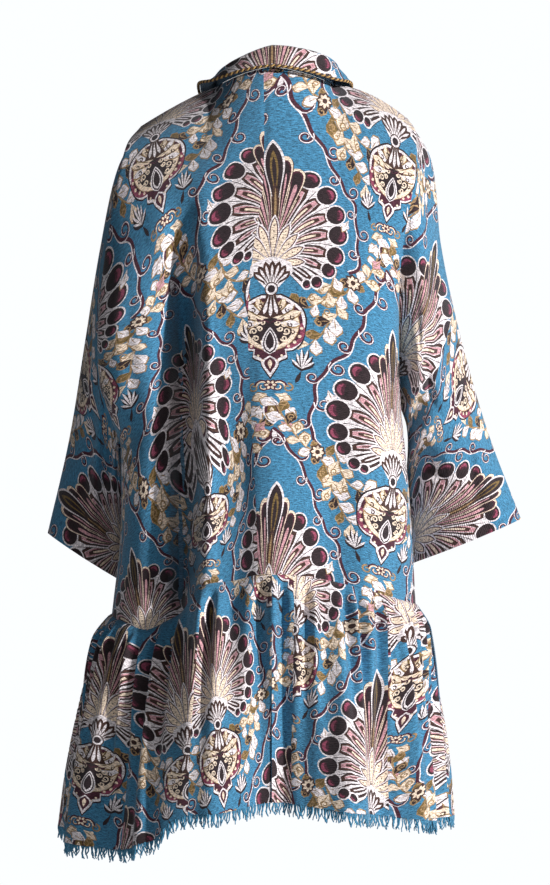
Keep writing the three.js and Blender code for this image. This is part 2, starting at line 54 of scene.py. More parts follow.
# The garment's form, as in the CAD source
NECK_POINT = {"right": (79, 2, 14), "left": (70, 2, 12)}
CENTRE = {
    "back": [(0, 58, 31), (0.09, 88, -32), (0.22, 118, -122), (0.42, 130, -255), (0.7, 140, -435),
             (1, 152, -634)],
    "front": [(0, -82, -62), (0.09, -104, -108), (0.22, -126, -178), (0.42, -140, -285),
              (0.7, -142, -450),
              (1, -148, -640)],
}
ROW_FORM = [(0, 62, 1), (0.2, 58, 1), (0.36, 84, 0.8), (0.61, 90, 0.72), (1, 90, 0.92)]
SIDES = {
    "right": {
        "sign": -1, "shoulder_curve": 1.9,
        "back": [(0, 182, -5, -31), (0.14, 191, 46, -58), (0.32, 185, 90, -130), (0.55, 170, 76, -226),
                 (0.78, 168, 50, -326), (1, 172, 0, -418)],
        "front": [(0, 182, -5, -31), (0.14, 184, -50, -60), (0.32, 174, -88, -134),
                  (0.55, 163, -82, -230),
                  (0.78, 163, -56, -328), (1, 172, 0, -418)],
        "side_seam": [(0, 172, 0, -418), (0.5, 184, 4, -545), (1, 192, 4, -680)],
        # at, the overarm point, the underarm point, and the bulge to the back and to the front
        "rings": [(0.12, 214, -8, -88, 180, -4, -442, 92, 84),
                  (0.3, 227, -12, -200, 183, -30, -474, 90, 78),
                  (0.55, 254, -18, -324, 181, -62, -524, 78, 64),
                  (0.78, 290, -26, -448, 180, -84, -580, 64, 56),
                  (1, 336, -34, -568, 180, -94, -634, 54, 50)],
        "hem": (230, -966),
    },
    "left": {
        "sign": 1, "shoulder_curve": 1.25,
        "back": [(0, 176, -5, -41), (0.14, 194, 42, -74), (0.32, 210, 66, -156), (0.55, 226, 60, -264),
                 (0.78, 230, 34, -374), (1, 203, -20, -470)],
        "front": [(0, 176, -5, -41), (0.14, 182, -56, -70), (0.32, 172, -98, -144),
                  (0.55, 166, -102, -252),
                  (0.78, 174, -76, -364), (1, 203, -20, -470)],
        "side_seam": [(0, 203, -20, -470), (0.5, 202, 0, -580), (1, 214, 4, -694)],
        "rings": [(0.12, 208, -16, -98, 206, -28, -490, 76, 84),
                  (0.3, 231, -24, -200, 202, -50, -522, 74, 76),
                  (0.55, 253, -38, -330, 196, -76, -568, 60, 64),
                  (0.78, 275, -52, -460, 190, -98, -616, 54, 58),
                  (1, 305, -62, -588, 188, -104, -664, 50, 54)],
        "hem": (278, -986),
    },
}
# place at top and bottom, width towards and away from the middle, start, full, depth, lower share, drop
BODY_FOLDS = {
    "back": [(108, 122, 18, 46, 0.2, 0.5, -48, 1, 30), (160, 168, 30, 34, 0.5, 0.9, 8, 1, 24),
             (12, 2, 30, 30, 0.45, 0.8, 9, 1, 0), (58, 50, 22, 24, 0.4, 0.8, -9, 1, 4),
             (-70, -78, 26, 30, 0.5, 0.9, -11, 1, 0), (-128, -130, 24, 22, 0.35, 0.7, 9, 0.8, 0)],
    "front": [(84, 96, 24, 34, 0.25, 0.6, 20, 1, 0), (-88, -98, 24, 34, 0.25, 0.6, 20, 1, 0),
              (40, 46, 20, 22, 0.5, 0.9, -10, 1, 0), (-42, -50, 20, 22, 0.5, 0.9, -10, 1, 0)],
}
SLEEVE_CREASES = {  # b_from, t_from, b_to, t_to, width, depth
    "right": [(0.1, 0.8, 0.34, 0.62, 0.075, 16), (0.24, 0.95, 0.5, 0.52, 0.06, -20),
              (0.38, 0.98, 0.6, 0.5, 0.05, 13), (0.5, 1.0, 0.72, 0.55, 0.05, -13),
              (0.42, 0.12, 1.0, 0.2, 0.1, 5)],
    "left": [(0.45, 0.42, 1.0, 0.44, 0.06, 8), (0.4, 0.62, 0.9, 0.66, 0.08, -8),
             (0.1, 0.25, 0.45, 0.3, 0.09, -6)],
}
HEM = {"back": (196, -928), "front": (-186, -944)}
GATHERS = 12
FLUTES = [(-158, 13, 20), (-132, 12, -16), (-108, 13, 20), (-86, 11, -18), (-66, 12, 16), (-49, 8, -20),
          (-35, 9, 12), (-17, 10, 22), (4, 12, -32), (24, 11, 24), (40, 7, -24), (55, 9, 22),
          (78, 11, -18),
          (101, 13, 20), (126, 12, -16), (152, 13, 20)]
COLLAR = [(0, 29, -5, 2, 16, 0), (0.15, 28, -5, 2, 17, 0), (0.3, 26, -4, 1, 20, 0),
          (0.5, 20, -2, 3, 26, 0),
          (0.75, 20, 3, -18, 34, 6), (1, 14, 9, -44, 46, 8)]
COLLAR_TILT = 8
COLLAR_Y = -108  # where the repeat falls on the collar's seam
ROLL_RADIUS = 6.5


def mix(a, b, share):
    return a + (b - a) * share


def smooth(start, end, value):
    t = np.clip((np.asarray(value, float) - start) / (end - start), 0, 1)
    return t * t * (3 - 2 * t)


def read(knots, values, at):
    """Rows of values between the knots, on a smooth curve through them."""
    knots, values, at = (np.asarray(x, float) for x in (knots, values, at))
    i = np.clip(np.searchsorted(knots, at, side="left") - 1, 0, len(knots) - 2)
    before, after = np.maximum(i - 1, 0), np.minimum(i + 2, len(knots) - 1)
    wide = (slice(None),) + (None,) * (values.ndim - 1)
    span = (knots[i + 1] - knots[i])[wide]
    t = ((at - knots[i]) / (knots[i + 1] - knots[i]))[wide]
    step = values[i + 1] - values[i]
    leave = (values[i + 1] - values[before]) / (knots[i + 1] - knots[before])[wide] * span
    arrive = (values[after] - values[i]) / (knots[after] - knots[i])[wide] * span
    return values[i] + step * t + t * (1 - t) * ((1 - t) * (leave - step) - t * (arrive - step))


def table(rows, at):
    rows = np.asarray(rows, float)
    return read(rows[:, 0], rows[:, 1:], at)


def row_end(side, face, v):
    form = SIDES[side]
    upper = table(form[face], np.minimum(v / UNDERARM, 1))
    lower = table(form["side_seam"], np.maximum((v - UNDERARM) / (1 - UNDERARM), 0))
    return np.where((v <= UNDERARM)[:, None], upper, lower)


def middle_out(face):
    return FRONT_GAP / 2 if face == "front" else 0


def row_arc(side, face, u, v):
    """Out, y and z at every u and v, as an array of rows."""
    middle, end = table(CENTRE[face], v), row_end(side, face, v)
    form = table(ROW_FORM, v)
    full, corner = np.radians(form[:, :1]), form[:, 1:2]
    turn = u[None, :] * full
    across = (np.sin(turn) / np.sin(full)) ** corner
    inward = np.clip((np.cos(turn) - np.cos(full)) / (1 - np.cos(full)), 0, 1) ** corner
    out = mix(middle_out(face), end[:, :1], across)
    y = mix(end[:, 1:2], middle[:, :1], inward)
    z = mix(middle[:, 1:2], end[:, 2:3], across**1.6)
    return np.stack([out, y, z], -1)


def top_edge(side, face, u):
    middle, neck = np.array(CENTRE[face][0][1:], float), np.array(NECK_POINT[side], float)
    end = row_end(side, face, np.zeros(1))[0]
    turn = np.clip(u / NECK_SHARE, 0, 1) * math.pi / 2
    share = np.clip((u - NECK_SHARE) / (1 - NECK_SHARE), 0, 1)
    on_neck = np.stack([
        mix(middle_out(face), neck[0], np.sin(turn)),
        mix(neck[1], middle[0], np.cos(turn)),
        mix(middle[1], neck[2], np.clip(np.sin(turn), 0, 1) ** 1.4),
    ], -1)
    on_shoulder = np.stack([
        mix(neck[0], end[0], share),
        mix(neck[1], end[1], share),
        mix(neck[2], end[2], share ** SIDES[side]["shoulder_curve"]),
    ], -1)
    return np.where((u < NECK_SHARE)[:, None], on_neck, on_shoulder)


def fold_at(side, face, out, v):
    sign = SIDES[side]["sign"]
    y, z = np.zeros_like(out), np.zeros_like(out)
    for top, low, inner, outer, start, full, depth, lower, drop in BODY_FOLDS[face]:
        place = mix(top, low, v)
        away = (sign * out - place) * np.sign(place)
        near = np.exp(-((away / np.where(away < 0, inner, outer)) ** 2))
        y = y + depth * smooth(start, full, v) * mix(1, lower, v) * near
        z = z - drop * smooth(0.55, 1, v) * near
    return y, z


def body_surface(side, face, u, v):
    arc, flat, top = row_arc(side, face, u, v), row_arc(side, face, u,
                                                        np.zeros(1)), top_edge(side, face, u)
    fade = (np.maximum(1 - v / YOKE, 0) ** 3)[:, None, None]
    place = arc + (top[None] - flat) * fade
    fold_y, fold_z = fold_at(side, face, place[..., 0], v[:, None])
    free = smooth(1, 0.8, u)[None, :]
    place[..., 1] += fold_y * free + fine_body(side, face, place, u, v)
    place[..., 2] += fold_z * free
    place[..., 0] *= SIDES[side]["sign"]
    return place


def sleeve_surface(side, face, b, t):
    form = SIDES[side]
    rings = np.array(form["rings"], float)
    bulge = np.sin(np.pi * t).clip(0) ** 0.7
    depth = rings[:, 7] if face == "back" else -rings[:, 8]
    over, under = rings[:, None, 1:4], rings[:, None, 4:7]
    section = mix(over, under, t[None, :, None])
    section[..., 1] += bulge[None, :] * depth[:, None]
    armhole = table(form[face], t)
    place = read([0, *rings[:, 0]], np.concatenate([armhole[None], section]), b)
    B, T = b[:, None], t[None, :]
    free = smooth(0, 0.12, T) * smooth(1, 0.94, T) * smooth(0, 0.15, B)
    moved = np.zeros_like(place[..., 0])
    for b0, t0, b1, t1, width, deep in SLEEVE_CREASES[side]:
        along, round_it = b1 - b0, t1 - t0
        share = np.clip(((B - b0) * along + (T - t0) * round_it) / (along**2 + round_it**2), 0, 1)
        away = np.hypot(B - b0 - share * along, T - t0 - share * round_it)
        moved += deep * np.sin(np.pi * mix(0.15, 0.9, share)) * np.exp(-((away / width) ** 2))
    place[..., 1] += (1 if face == "back" else -0.7) * free * moved + fine_sleeve(side, face, B, T) * free
    place[..., 0] *= form["sign"]
    return place.transpose(1, 0, 2)  # rows are t, columns are b


def flounce_surface(side, face, u, v):
    form = SIDES[side]
    seam = body_surface(side, face, u, np.ones(1))[0]
    turn = u * math.pi / 2
    hem_out, hem_side_z = form["hem"]
    hem_y, hem_z = HEM[face]
    fallen = 0.8 * fold_at(side, face, np.abs(seam[:, 0]), np.ones(1))[1] * smooth(1, 0.8, u)
    low = np.stack([
        form["sign"] * mix(middle_out(face), hem_out, np.sin(turn)),
        hem_y * np.cos(turn),
        mix(hem_z, hem_side_z, np.sin(turn).clip(0) ** 1.5) + fallen,
    ], -1)
    V = v[:, None]
    spread = V**0.55
    place = np.stack([mix(seam[:, 0], low[:, 0], spread), mix(seam[:, 1], low[:, 1], spread),
                      mix(seam[:, 2], low[:, 2], V)], -1)
    outward = np.stack([low[:, 0] / hem_out, low[:, 1] / abs(HEM["back"][0])], -1)
    outward /= np.linalg.norm(outward, axis=1, keepdims=True)
    angle = (u * 90 if face == "back" else 180 - u * 90) * -form["sign"]
    flute = sum(out * np.exp(-(((angle - at) / width) ** 2)) for at, width, out in FLUTES)
    gather = np.cos(2 * np.pi * GATHERS * u) * 6.5 * smooth(0, 0.12, V) * mix(1, 0.2, smooth(0.1, 0.9, V))
    opened = smooth(0, 0.06, u) if face == "front" else np.ones_like(u)
    push = gather * opened + flute * smooth(0.02, 0.85, V) + fine_flounce(side, face, u, V) * opened
    place[..., :2] += outward[None] * push[..., None]
    return place


# Finer creases, laid one by one on the same form
# Each runs from one point to another in the picture plane (x, z), with its half width and its depth.
CREASES = {
    ("right", "back"): [(-10, -60, -60, -150, 14, -2.5), (-60, -40, -140, -95, 16, -3),
                        (-120, -70, -178, -150, 14, 3),
                        (-150, -180, -128, -330, 12, -3.5), (-96, -230, -104, -420, 15, 3),
                        (-60, -300, -52, -600, 12, -3),
                        (-100, -420, -112, -640, 13, -4), (-150, -400, -160, -640, 12, 4),
                        (-30, -420, -26, -640, 11, 2.5)],
    ("left", "back"): [(14, -60, 70, -150, 15, -2.5), (60, -46, 150, -120, 16, -3.5),
                       (90, -110, 104, -230, 16, 4),
                       (150, -150, 136, -300, 14, 3.5), (30, -330, 38, -620, 12, -3),
                       (76, -300, 84, -640, 11, 4),
                       (150, -300, 158, -560, 13, 5), (182, -260, 190, -480, 12, -5),
                       (112, -250, 120, -420, 9, -3)],
}
WAVES = (0.021, 0.034, 0.013)
# The deep fold beside the middle of the back, on the left: height, the ridge's place and the depth behind it
DEEP_FOLD = [(-700, 90, 46), (-560, 90, 46), (-400, 89, 44), (-300, 91, 36), (-230, 94, 18),
             (-150, 98, 0), (0, 98, 0)]
SEAM_X, SEAM_U = 9, 0.042  # the middle seam lies this far to the left of the pattern's axis


def fine_body(side, face, place, u, v):
    """Soft uneven troughs and ridges over the body, left out at its edges."""
    x, z = SIDES[side]["sign"] * place[..., 0], place[..., 2]
    moved = np.zeros_like(x)
    for x0, z0, x1, z1, width, deep in CREASES.get((side, face), ()):
        along, down = x1 - x0, z1 - z0
        share = np.clip(((x - x0) * along + (z - z0) * down) / (along**2 + down**2), 0, 1)
        wander = 4 * np.sin(share * 7 + x0)
        away = np.hypot(x - x0 - share * along - wander, z - z0 - share * down)
        moved += deep * np.sin(np.pi * mix(0.12, 0.92, share)) * np.exp(-((away / width) ** 2))
    moved *= smooth(0, 14, x)
    if (side, face) == ("left", "back"):
        moved -= 1.3 * np.exp(-(((x - SEAM_X) / 2.2) ** 2))
    moved += 1.1 * np.sin(x * WAVES[1] + 1.7 * np.sin(z * WAVES[2])) * np.sin(z * WAVES[0] + 2)
    edges = smooth(0, 0.06, v)[:, None] * smooth(1, 0.9, u)[None, :] * smooth(1, 0.97, v)[:, None]
    return moved * edges * (1 if face == "back" else -1)


FINE_SLEEVE = {
    "right": [(0.2, 0.3, 0.55, 0.5, 0.05, 4), (0.3, 0.6, 0.62, 0.44, 0.035, -6),
              (0.55, 0.75, 0.8, 0.5, 0.035, -6),
              (0.62, 0.95, 0.85, 0.7, 0.035, 5), (0.02, 0.5, 0.2, 0.72, 0.05, -5),
              (0.7, 0.2, 1.0, 0.32, 0.05, -4)],
    "left": [(0.15, 0.5, 0.5, 0.56, 0.05, 5), (0.3, 0.75, 0.7, 0.8, 0.04, -5),
             (0.5, 0.3, 0.95, 0.28, 0.05, -4),
             (0.55, 0.52, 0.95, 0.55, 0.035, -4), (0.05, 0.62, 0.3, 0.7, 0.05, -4)],
}


def fine_sleeve(side, face, B, T):
    moved = 0
    for b0, t0, b1, t1, width, deep in FINE_SLEEVE[side]:
        along, round_it = b1 - b0, t1 - t0
        share = np.clip(((B - b0) * along + (T - t0) * round_it) / (along**2 + round_it**2), 0, 1)
        away = np.hypot(B - b0 - share * along, T - t0 - share * round_it + 0.012 * np.sin(9 * share))
        moved = moved + deep * np.sin(np.pi * mix(0.1, 0.94, share)) * np.exp(-((away / width) ** 2))
    moved = moved - 0.9 * np.exp(-(((B - 0.955) / 0.007) ** 2))
    return moved * (1 if face == "back" else -0.7)


def fine_flounce(side, face, u, V):
    """Smaller uneven gathers between the main ones, longest near the seam."""
    phase = 0.6 * np.sin(11 * u + (2 if side == "left" else 0)) + (1 if face == "front" else 0)
    first = 2.6 * np.sin(2 * np.pi * 19 * u + 3 * phase) * smooth(0, 0.1, V) * smooth(0.7, 0.12, V)
    second = 3.2 * np.sin(2 * np.pi * 7 * u + 2 + 2 * phase) * smooth(0, 0.3, V) * mix(0.5, 1, V)
    return first + second


# The ornament, drawn as outlines in millimetres from the ring on a palmette's stem
DYES = {  # sRGB
    "ground": (60, 119, 154), "white": (222, 214, 218), "cream": (224, 204, 184), "pink": (190, 142, 150),
    "rose": (132, 62, 84), "plum": (70, 32, 46), "dark": (42, 30, 34), "olive": (112, 90, 52),
    "brown": (66, 44, 38), "gold": (150, 122, 88),
}


def bend(points, step=3.2):
    """Points on a smooth curve through the given ones."""
    p = np.asarray(points, float)
    p = np.vstack([2 * p[0] - p[1], p, 2 * p[-1] - p[-2]])
    found = []
    for a, b, c, d in zip(p, p[1:], p[2:], p[3:]):
        n = max(int(np.linalg.norm(c - b) / step), 2)
        t = np.linspace(0, 1, n, endpoint=False)[:, None]
        square, cube = 2 * a - 5 * b + 4 * c - d, 3 * b - a - 3 * c + d
        found.append(0.5 * (2 * b + (c - a) * t + square * t**2 + cube * t**3))
    found.append(p[-2:-1])
    return np.vstack(found)


def ribbon(path, widths):
    """An outline round a path, as wide at each point as widths says."""
    path = np.asarray(path, float)
    way = np.gradient(path, axis=0)
    way /= np.linalg.norm(way, axis=1, keepdims=True) + 1e-9
    side = np.stack([-way[:, 1], way[:, 0]], 1) * np.asarray(widths, float)[:, None] / 2
    return np.vstack([path + side, (path - side)[::-1]])


def stroke(points, width, step=3.2):
    """A line that tapers towards both ends."""
    path = bend(points, step)
    s = np.linspace(0, 1, len(path))
    return ribbon(path, width * np.clip(np.minimum(s, 1 - s) * 8 + 0.35, 0, 1))


def disc(x, y, r, n=14):
    turn = np.arange(n) * 2 * math.pi / n
    return np.stack([x + r * np.cos(turn), y + r * np.sin(turn)], 1)


def petal(base, tip, width, step=3.0, widest=0.62):
    """A leaf outline from base to tip."""
    base, tip = np.asarray(base, float), np.asarray(tip, float)
    n = max(int(np.linalg.norm(tip - base) / step), 5)
    s = np.linspace(0, 1, n)
    form = np.sin(np.pi * s ** (math.log(0.5) / math.log(widest))) ** 0.75
    return ribbon(base + (tip - base) * s[:, None], width * form.clip(0.05))


def spiral(x, y, r, start, turns, width, step=0.55):
    """A scroll that winds in from the rim of a circle."""
    turn = np.arange(0, abs(turns) * 2 * math.pi, step)
    if len(turn) < 4:
        turn = np.linspace(0, abs(turns) * 2 * math.pi, 4)
    share = turn / turn[-1]
    angle = math.radians(start) + turn * math.copysign(1, turns)
    radius = r * (1 - 0.72 * share)
    path = np.stack([x + radius * np.cos(angle), y + radius * np.sin(angle)], 1)
    return ribbon(path, width * (1 - 0.35 * share))


CURLS = [(35.6, 142.6, 10.4), (57.5, 124.6, 11.6), (75, 99.8, 12.2), (83.8, 71.8, 12.6), (82.4, 42.8, 11),
         (73.5, 23.2, 8.4), (58, 7.2, 6.6), (45, 4.6, 4.8)]
FAN = np.array([0.0, 35.0])


def feather_line(x, y, n=13):
    """The middle line of a feather, from the fan's centre up and over to its curl."""
    reach = math.hypot(x, y - FAN[1])
    lift = 0.20 * reach * min(1, x / 60)
    control = np.array([x * 0.42, FAN[1] + (y - FAN[1]) * 0.5 + lift])
    t = np.linspace(0.07, 1, n)[:, None]
    return (1 - t) ** 2 * FAN + 2 * t * (1 - t) * control + t**2 * np.array([x, y])


FEATHER = [("dark", 3.4, 1.0), ("white", 1.4, 1.0), ("dark", -4.4, 0.97), ("brown", -7.0, 0.94),
           ("white", -10.4, 0.9),
           ("pink", -12.2, 0.89), ("brown", -14.6, 0.84), ("cream", -18.6, 0.76)]


def feather(shapes, x, y, wide):
    path = feather_line(x, y)
    s = np.linspace(0.07, 1, len(path))
    for dye, less, end in FEATHER:
        n = max(int(len(path) * end), 4)
        width = wide * mix(0.22, 1, s[:n]) + less * mix(0.45, 1, s[:n])
        first = int(np.argmax(width > 0.9))
        if width.max() < 1.2 or n - first < 3:
            continue
        rounded = np.clip((s[n - 1] - s[:n]) * 7, 0.25, 1) ** 0.5 if end < 1 else 1
        shapes.append((dye, ribbon(path[first:n], (width * rounded)[first:n].clip(0.5))))


def curl(shapes, x, y, r):
    """The dark rolled end of a feather, with a rose crescent on its outer side."""
    away = math.atan2(y - 60, x)
    shapes.append(("white", disc(x, y, r + 1.9, 18)))
    shapes.append(("dark", disc(x, y, r, 16)))
    for dye, reach, width, spread in (("plum", 0.5, 0.7, 75), ("rose", 0.62, 0.34, 62)):
        turn = away - 0.3 + np.radians(np.linspace(-spread, spread, 9))
        arc = np.stack([x + r * reach * np.cos(turn), y + r * reach * np.sin(turn)], 1)
        shapes.append((dye, ribbon(arc, width * r * np.sin(np.linspace(0.35, 2.8, 9)))))


def half_palmette():
    """The right half of the palmette: feathers, curls, spear lobes and petals."""
    shapes = []
    outline = [(0, 150)] + [(x * 0.93, y * 0.93 + 3) for x, y, _ in CURLS] + [(20, 20), (0, 20)]
    shapes.append(("brown", np.array(outline)))
    wide = (25, 26, 27, 27, 24, 19, 14, 9)
    for (x, y, r), w in reversed(list(zip(CURLS, wide))):
        feather(shapes, x * 0.965, y * 0.975, w)
    for x, y, r in reversed(CURLS):
        curl(shapes, x, y, r * 1.08)
    for x, y, wide in ((22.8, 156.7, 19), (12.5, 173, 15)):
        path = bend([(4, 62), (x * 0.55, y * 0.6), (x * 0.95, y * 0.86), (x, y)], 3)
        s = np.linspace(0, 1, len(path))
        for dye, less, end in (("dark", 2.0, 1), ("cream", 0, 1), ("plum", -3.2, 0.97),
                               ("dark", -6.4, 0.94), ("pink", -12, 0.8)):
            n = max(int(len(path) * end), 4)
            tip = np.sqrt(1 - np.clip((s[:n] - s[n - 1] + 0.16) / 0.165, 0, 1) ** 2)
            width = (wide + less) * mix(0.12, 1, s[:n] ** 1.3) * tip
            shapes.append((dye, ribbon(path[:n], width.clip(0.4))))
    for x, y, w in ((17.6, 78, 9.4), (29, 66, 9.8), (38, 50, 9.8), (41, 32, 9)):
        tip = np.array([x, y], float)
        base = FAN + (tip - FAN) * 0.12 + (0, -4)
        for dye, more in (("white", 4), ("plum", 1), ("cream", -1.6)):
            shapes.append((dye, petal(base, tip + (tip - base) * 0.02 * more, w + more)))
        for share in (0.4, 0.6, 0.8):
            shapes.append(("brown", disc(*(base + (tip - base) * share), 1.0, 5)))
    return shapes


def middle_palmette():
    """What lies on the palmette's axis: the pointed head, its shaft and the middle petal."""
    shapes = [("white", petal((0, 60), (0, 194), 22, widest=0.78)),
              ("dark", petal((0, 60), (0, 190), 18, widest=0.78)),
              ("olive", petal((0, 96), (0, 180), 8.4, widest=0.74)),
              ("dark", petal((0, 104), (0, 172), 4.4, widest=0.74)),
              ("brown", petal((0, 44), (0, 136), 8, widest=0.7)), ("gold", petal((0, 60), (0, 128), 2.6)),
              ("white", petal((0, 34), (0, 91), 13)), ("plum", petal((0, 34), (0, 88), 10.6)),
              ("cream", petal((0, 36), (0, 86), 8))]
    shapes += [("brown", disc(0, y, 1.1, 5)) for y in (62, 70, 77)]
    return shapes


def stem():
    shapes = [("white", np.array([(-9, 2), (-27, 20), (-24, 31), (-12, 36), (0, 39), (12, 36), (24, 31),
                                  (27, 20), (9, 2)]))]
    for x, y in ((0, 34), (9, 33), (-9, 33), (17, 28), (-17, 28), (23, 21), (-23, 21)):
        shapes.append(("brown", petal((x * 0.22, 3), (x, y), 8.4, widest=0.74)))
        shapes.append(("white", petal((x * 0.3, 8), (x * 0.9, y * 0.86), 3.2, widest=0.7)))
    shapes.append(("brown", np.array([(-4, 0), (4, 0), (10, -22), (16, -32), (8, -34), (0, -37),
                                      (-8, -34), (-16, -32), (-10, -22)])))
    for x, y in ((0, -34), (8, -31), (-8, -31)):
        shapes.append(("white", petal((x * 0.3, -7), (x, y), 4.6, widest=0.75)))
    shapes += [("brown", disc(0, 0, 8.6, 14)), ("white", disc(0, 0, 7.2, 14)),
               ("dark", disc(0, 0, 4.8, 12))]
    return shapes


CARTOUCHE = [(12, -8), (22, -13), (37, -24), (42, -38), (40, -52), (35, -68), (25, -77), (18, -78),
             (19, -86),
             (10, -91), (9, -96), (0, -112)]


def scaled(points, share):
    """A cartouche outline made larger or smaller about its middle."""
    about = np.array([0.0, -48.0])
    return about + (np.asarray(points, float) - about) * share


def whole(points):
    """An outline and its mirror image as one."""
    p = np.asarray(points, float)
    return np.vstack([p, (p * (-1, 1))[::-1][1:]])


def cartouche():
    outline = whole(bend(CARTOUCHE, 3.4))
    inside = whole(bend([(0, -14), (24, -24), (34, -40), (30, -58), (20, -70), (8, -76), (0, -80)], 4))
    shapes = [("dark", scaled(outline, 1.05)), ("white", scaled(outline, 1.0)),
              ("plum", scaled(outline, 0.92)),
              ("gold", scaled(inside, 1.03)), ("cream", inside),
              ("dark", whole(bend([(0, -36), (14, -38), (24, -46), (24, -58), (14, -68), (0, -76)], 4)))]
    lower = bend([(36, -44), (38, -54), (33, -66), (24, -72), (18, -73)], 3)
    for m in (1, -1):
        flip = (m, 1)
        shapes.append(("rose", ribbon(lower * flip, np.full(len(lower), 5.0))))
        for x, y, r in ((37, -50, 2), (34, -60, 2.2), (28, -67, 2.2), (21, -72, 1.8), (13, -84, 1.6),
                        (8, -90, 1.5)):
            shapes.append(("cream", disc(m * x, y, r, 7)))
        for base, tip, w, dye in (((6, -34), (30, -20), 9, "white"), ((8, -38), (38, -30), 9, "cream"),
                                  ((10, -42), (36, -46), 9, "white"), ((8, -30), (18, -12), 8, "cream")):
            shapes.append(("gold", petal(np.multiply(base, flip), np.multiply(tip, flip), w + 2.2, 4)))
            shapes.append((dye, petal(np.multiply(base, flip), np.multiply(tip, flip) * 0.97, w, 4)))
            shapes.append(("olive", petal(np.multiply(base, flip), np.multiply(tip, flip) * 0.8, 1.8, 6)))
        for x, y, r in ((12, -22, 3.4), (21, -27, 3.2), (27, -36, 3.2), (24, -45, 3.4), (27, -54, 3),
                        (12, -66, 3.4)):
            shapes.append(("brown", spiral(m * x, y, r, 40 * r, m * 1.0, 1.8)))
        for x, y, r in ((9, -42, 3.6), (17, -44, 3.4), (19, -53, 4.4), (12, -50, 3.4), (16, -62, 3.8),
                        (8, -68, 3)):
            shapes.append(("cream", spiral(m * x, y, r, 50 * r, m * 1.3, 2.0)))
        shapes.append(("dark", stroke(np.multiply([(2, -46), (7, -52), (10, -60), (5, -70)], flip), 1.7)))
        shapes.append(("plum", stroke(np.multiply([(17, -36), (12, -40), (6, -39), (0, -43)], flip),
                                      2.0)))
    shapes += [("white", petal((0, -82), (0, -48), 19, widest=0.4)),
               ("dark", petal((0, -81), (0, -50), 15.5, widest=0.4)),
               ("white", petal((0, -79), (0, -52), 12.5, widest=0.4)),
               ("dark", petal((0, -76), (0, -54), 9.5, widest=0.42)),
               ("white", petal((0, -109), (0, -84), 17, widest=0.62)),
               ("plum", petal((0, -106), (0, -86), 13, widest=0.62)),
               ("cream", petal((0, -101), (0, -89), 5))]
    return shapes


# The scroll line between one palmette and the next, on the right, from top to bottom
LINE = [(155, 42), (140, 16), (129, -3), (118, -20), (110, -35), (92, -66), (78, -84), (60, -100),
        (50, -118), (46, -138),
        (42, -156), (40, -178), (44, -195), (54, -203)]
# The garland's strands, with the spacing of their leaves
STRANDS = [([(105, 12), (95, -2), (83, -12), (80, -31), (71, -40), (59, -57), (44, -70)], 7.5, 19),
           ([(85, 25), (77, 5), (66, -14), (47, -24), (34, -22)], 8, 18),
           ([(105, 12), (120, 18), (132, 34), (143, 56), (150, 76)], 8, 17)]
LEAF_DYES = ("white", "cream", "white", "cream", "white", "olive", "cream", "dark")


def leaf(shapes, base, tip, width, dye):
    shapes.append(("gold" if dye != "gold" else "brown", petal(base, tip + (tip - base) * 0.09,
                                                               width + 2.6, 4)))
    shapes.append((dye, petal(base, tip, width, 4)))
    way = tip - base
    across = np.array([-way[1], way[0]])
    shapes.append(("gold", np.array([base, base + way * 0.4 + across * 0.035, base + way * 0.75,
                                     base + way * 0.4 - across * 0.035])))
    for hand in (0.34, -0.34):
        lobe = np.array([[0.25, 0.2], [0.5, 1.05], [0.66, 1.0], [0.62, 0.2]])
        shapes.append((dye, base + lobe[:, :1] * way + lobe[:, 1:] * hand * across))


def rosette(shapes, x, y, r, petals, inner, outer):
    for turn in np.arange(petals) * 2 * math.pi / petals:
        shapes.append((outer, petal((x, y), (x + r * math.cos(turn), y + r * math.sin(turn)), 0.72 * r,
                                    3)))
    for turn in np.arange(petals) * 2 * math.pi / petals:
        shapes.append((inner, petal((x, y), (x + 0.8 * r * math.cos(turn), y + 0.8 * r * math.sin(turn)),
                                    0.36 * r, 3)))
    shapes.append((outer, disc(x, y, 0.3 * r, 8)))


def garland(flip):
    """Pairs of leaves along each strand, with small tendrils between them."""
    shapes = []
    for strand, step, long in STRANDS:
        path = bend(strand, step) * flip
        way = np.gradient(path, axis=0)
        way /= np.linalg.norm(way, axis=1, keepdims=True)
        shapes.append(("gold", stroke(np.multiply(strand, flip), 2.6, 5)))
        for n, (at, along) in enumerate(zip(path, way)):
            across = np.array([-along[1], along[0]]) * (1 if n % 2 else -1)
            size = long * (0.85 + 0.3 * ((n * 7) % 5) / 4)
            leaf(shapes, at, at + (along * 0.7 + across * 0.72) * size, size * 0.66,
                 LEAF_DYES[(n * 3 + len(strand)) % 8])
            if n % 2:
                x, y = at - across * long * 0.5
                shapes.append(("gold", spiral(x, y, 4.6, 90 * n, 1.2 if n % 4 == 1 else -1.2, 2.0)))
    rosette(shapes, flip[0] * 105, 12, 11, 8, "cream", "brown")
    return shapes


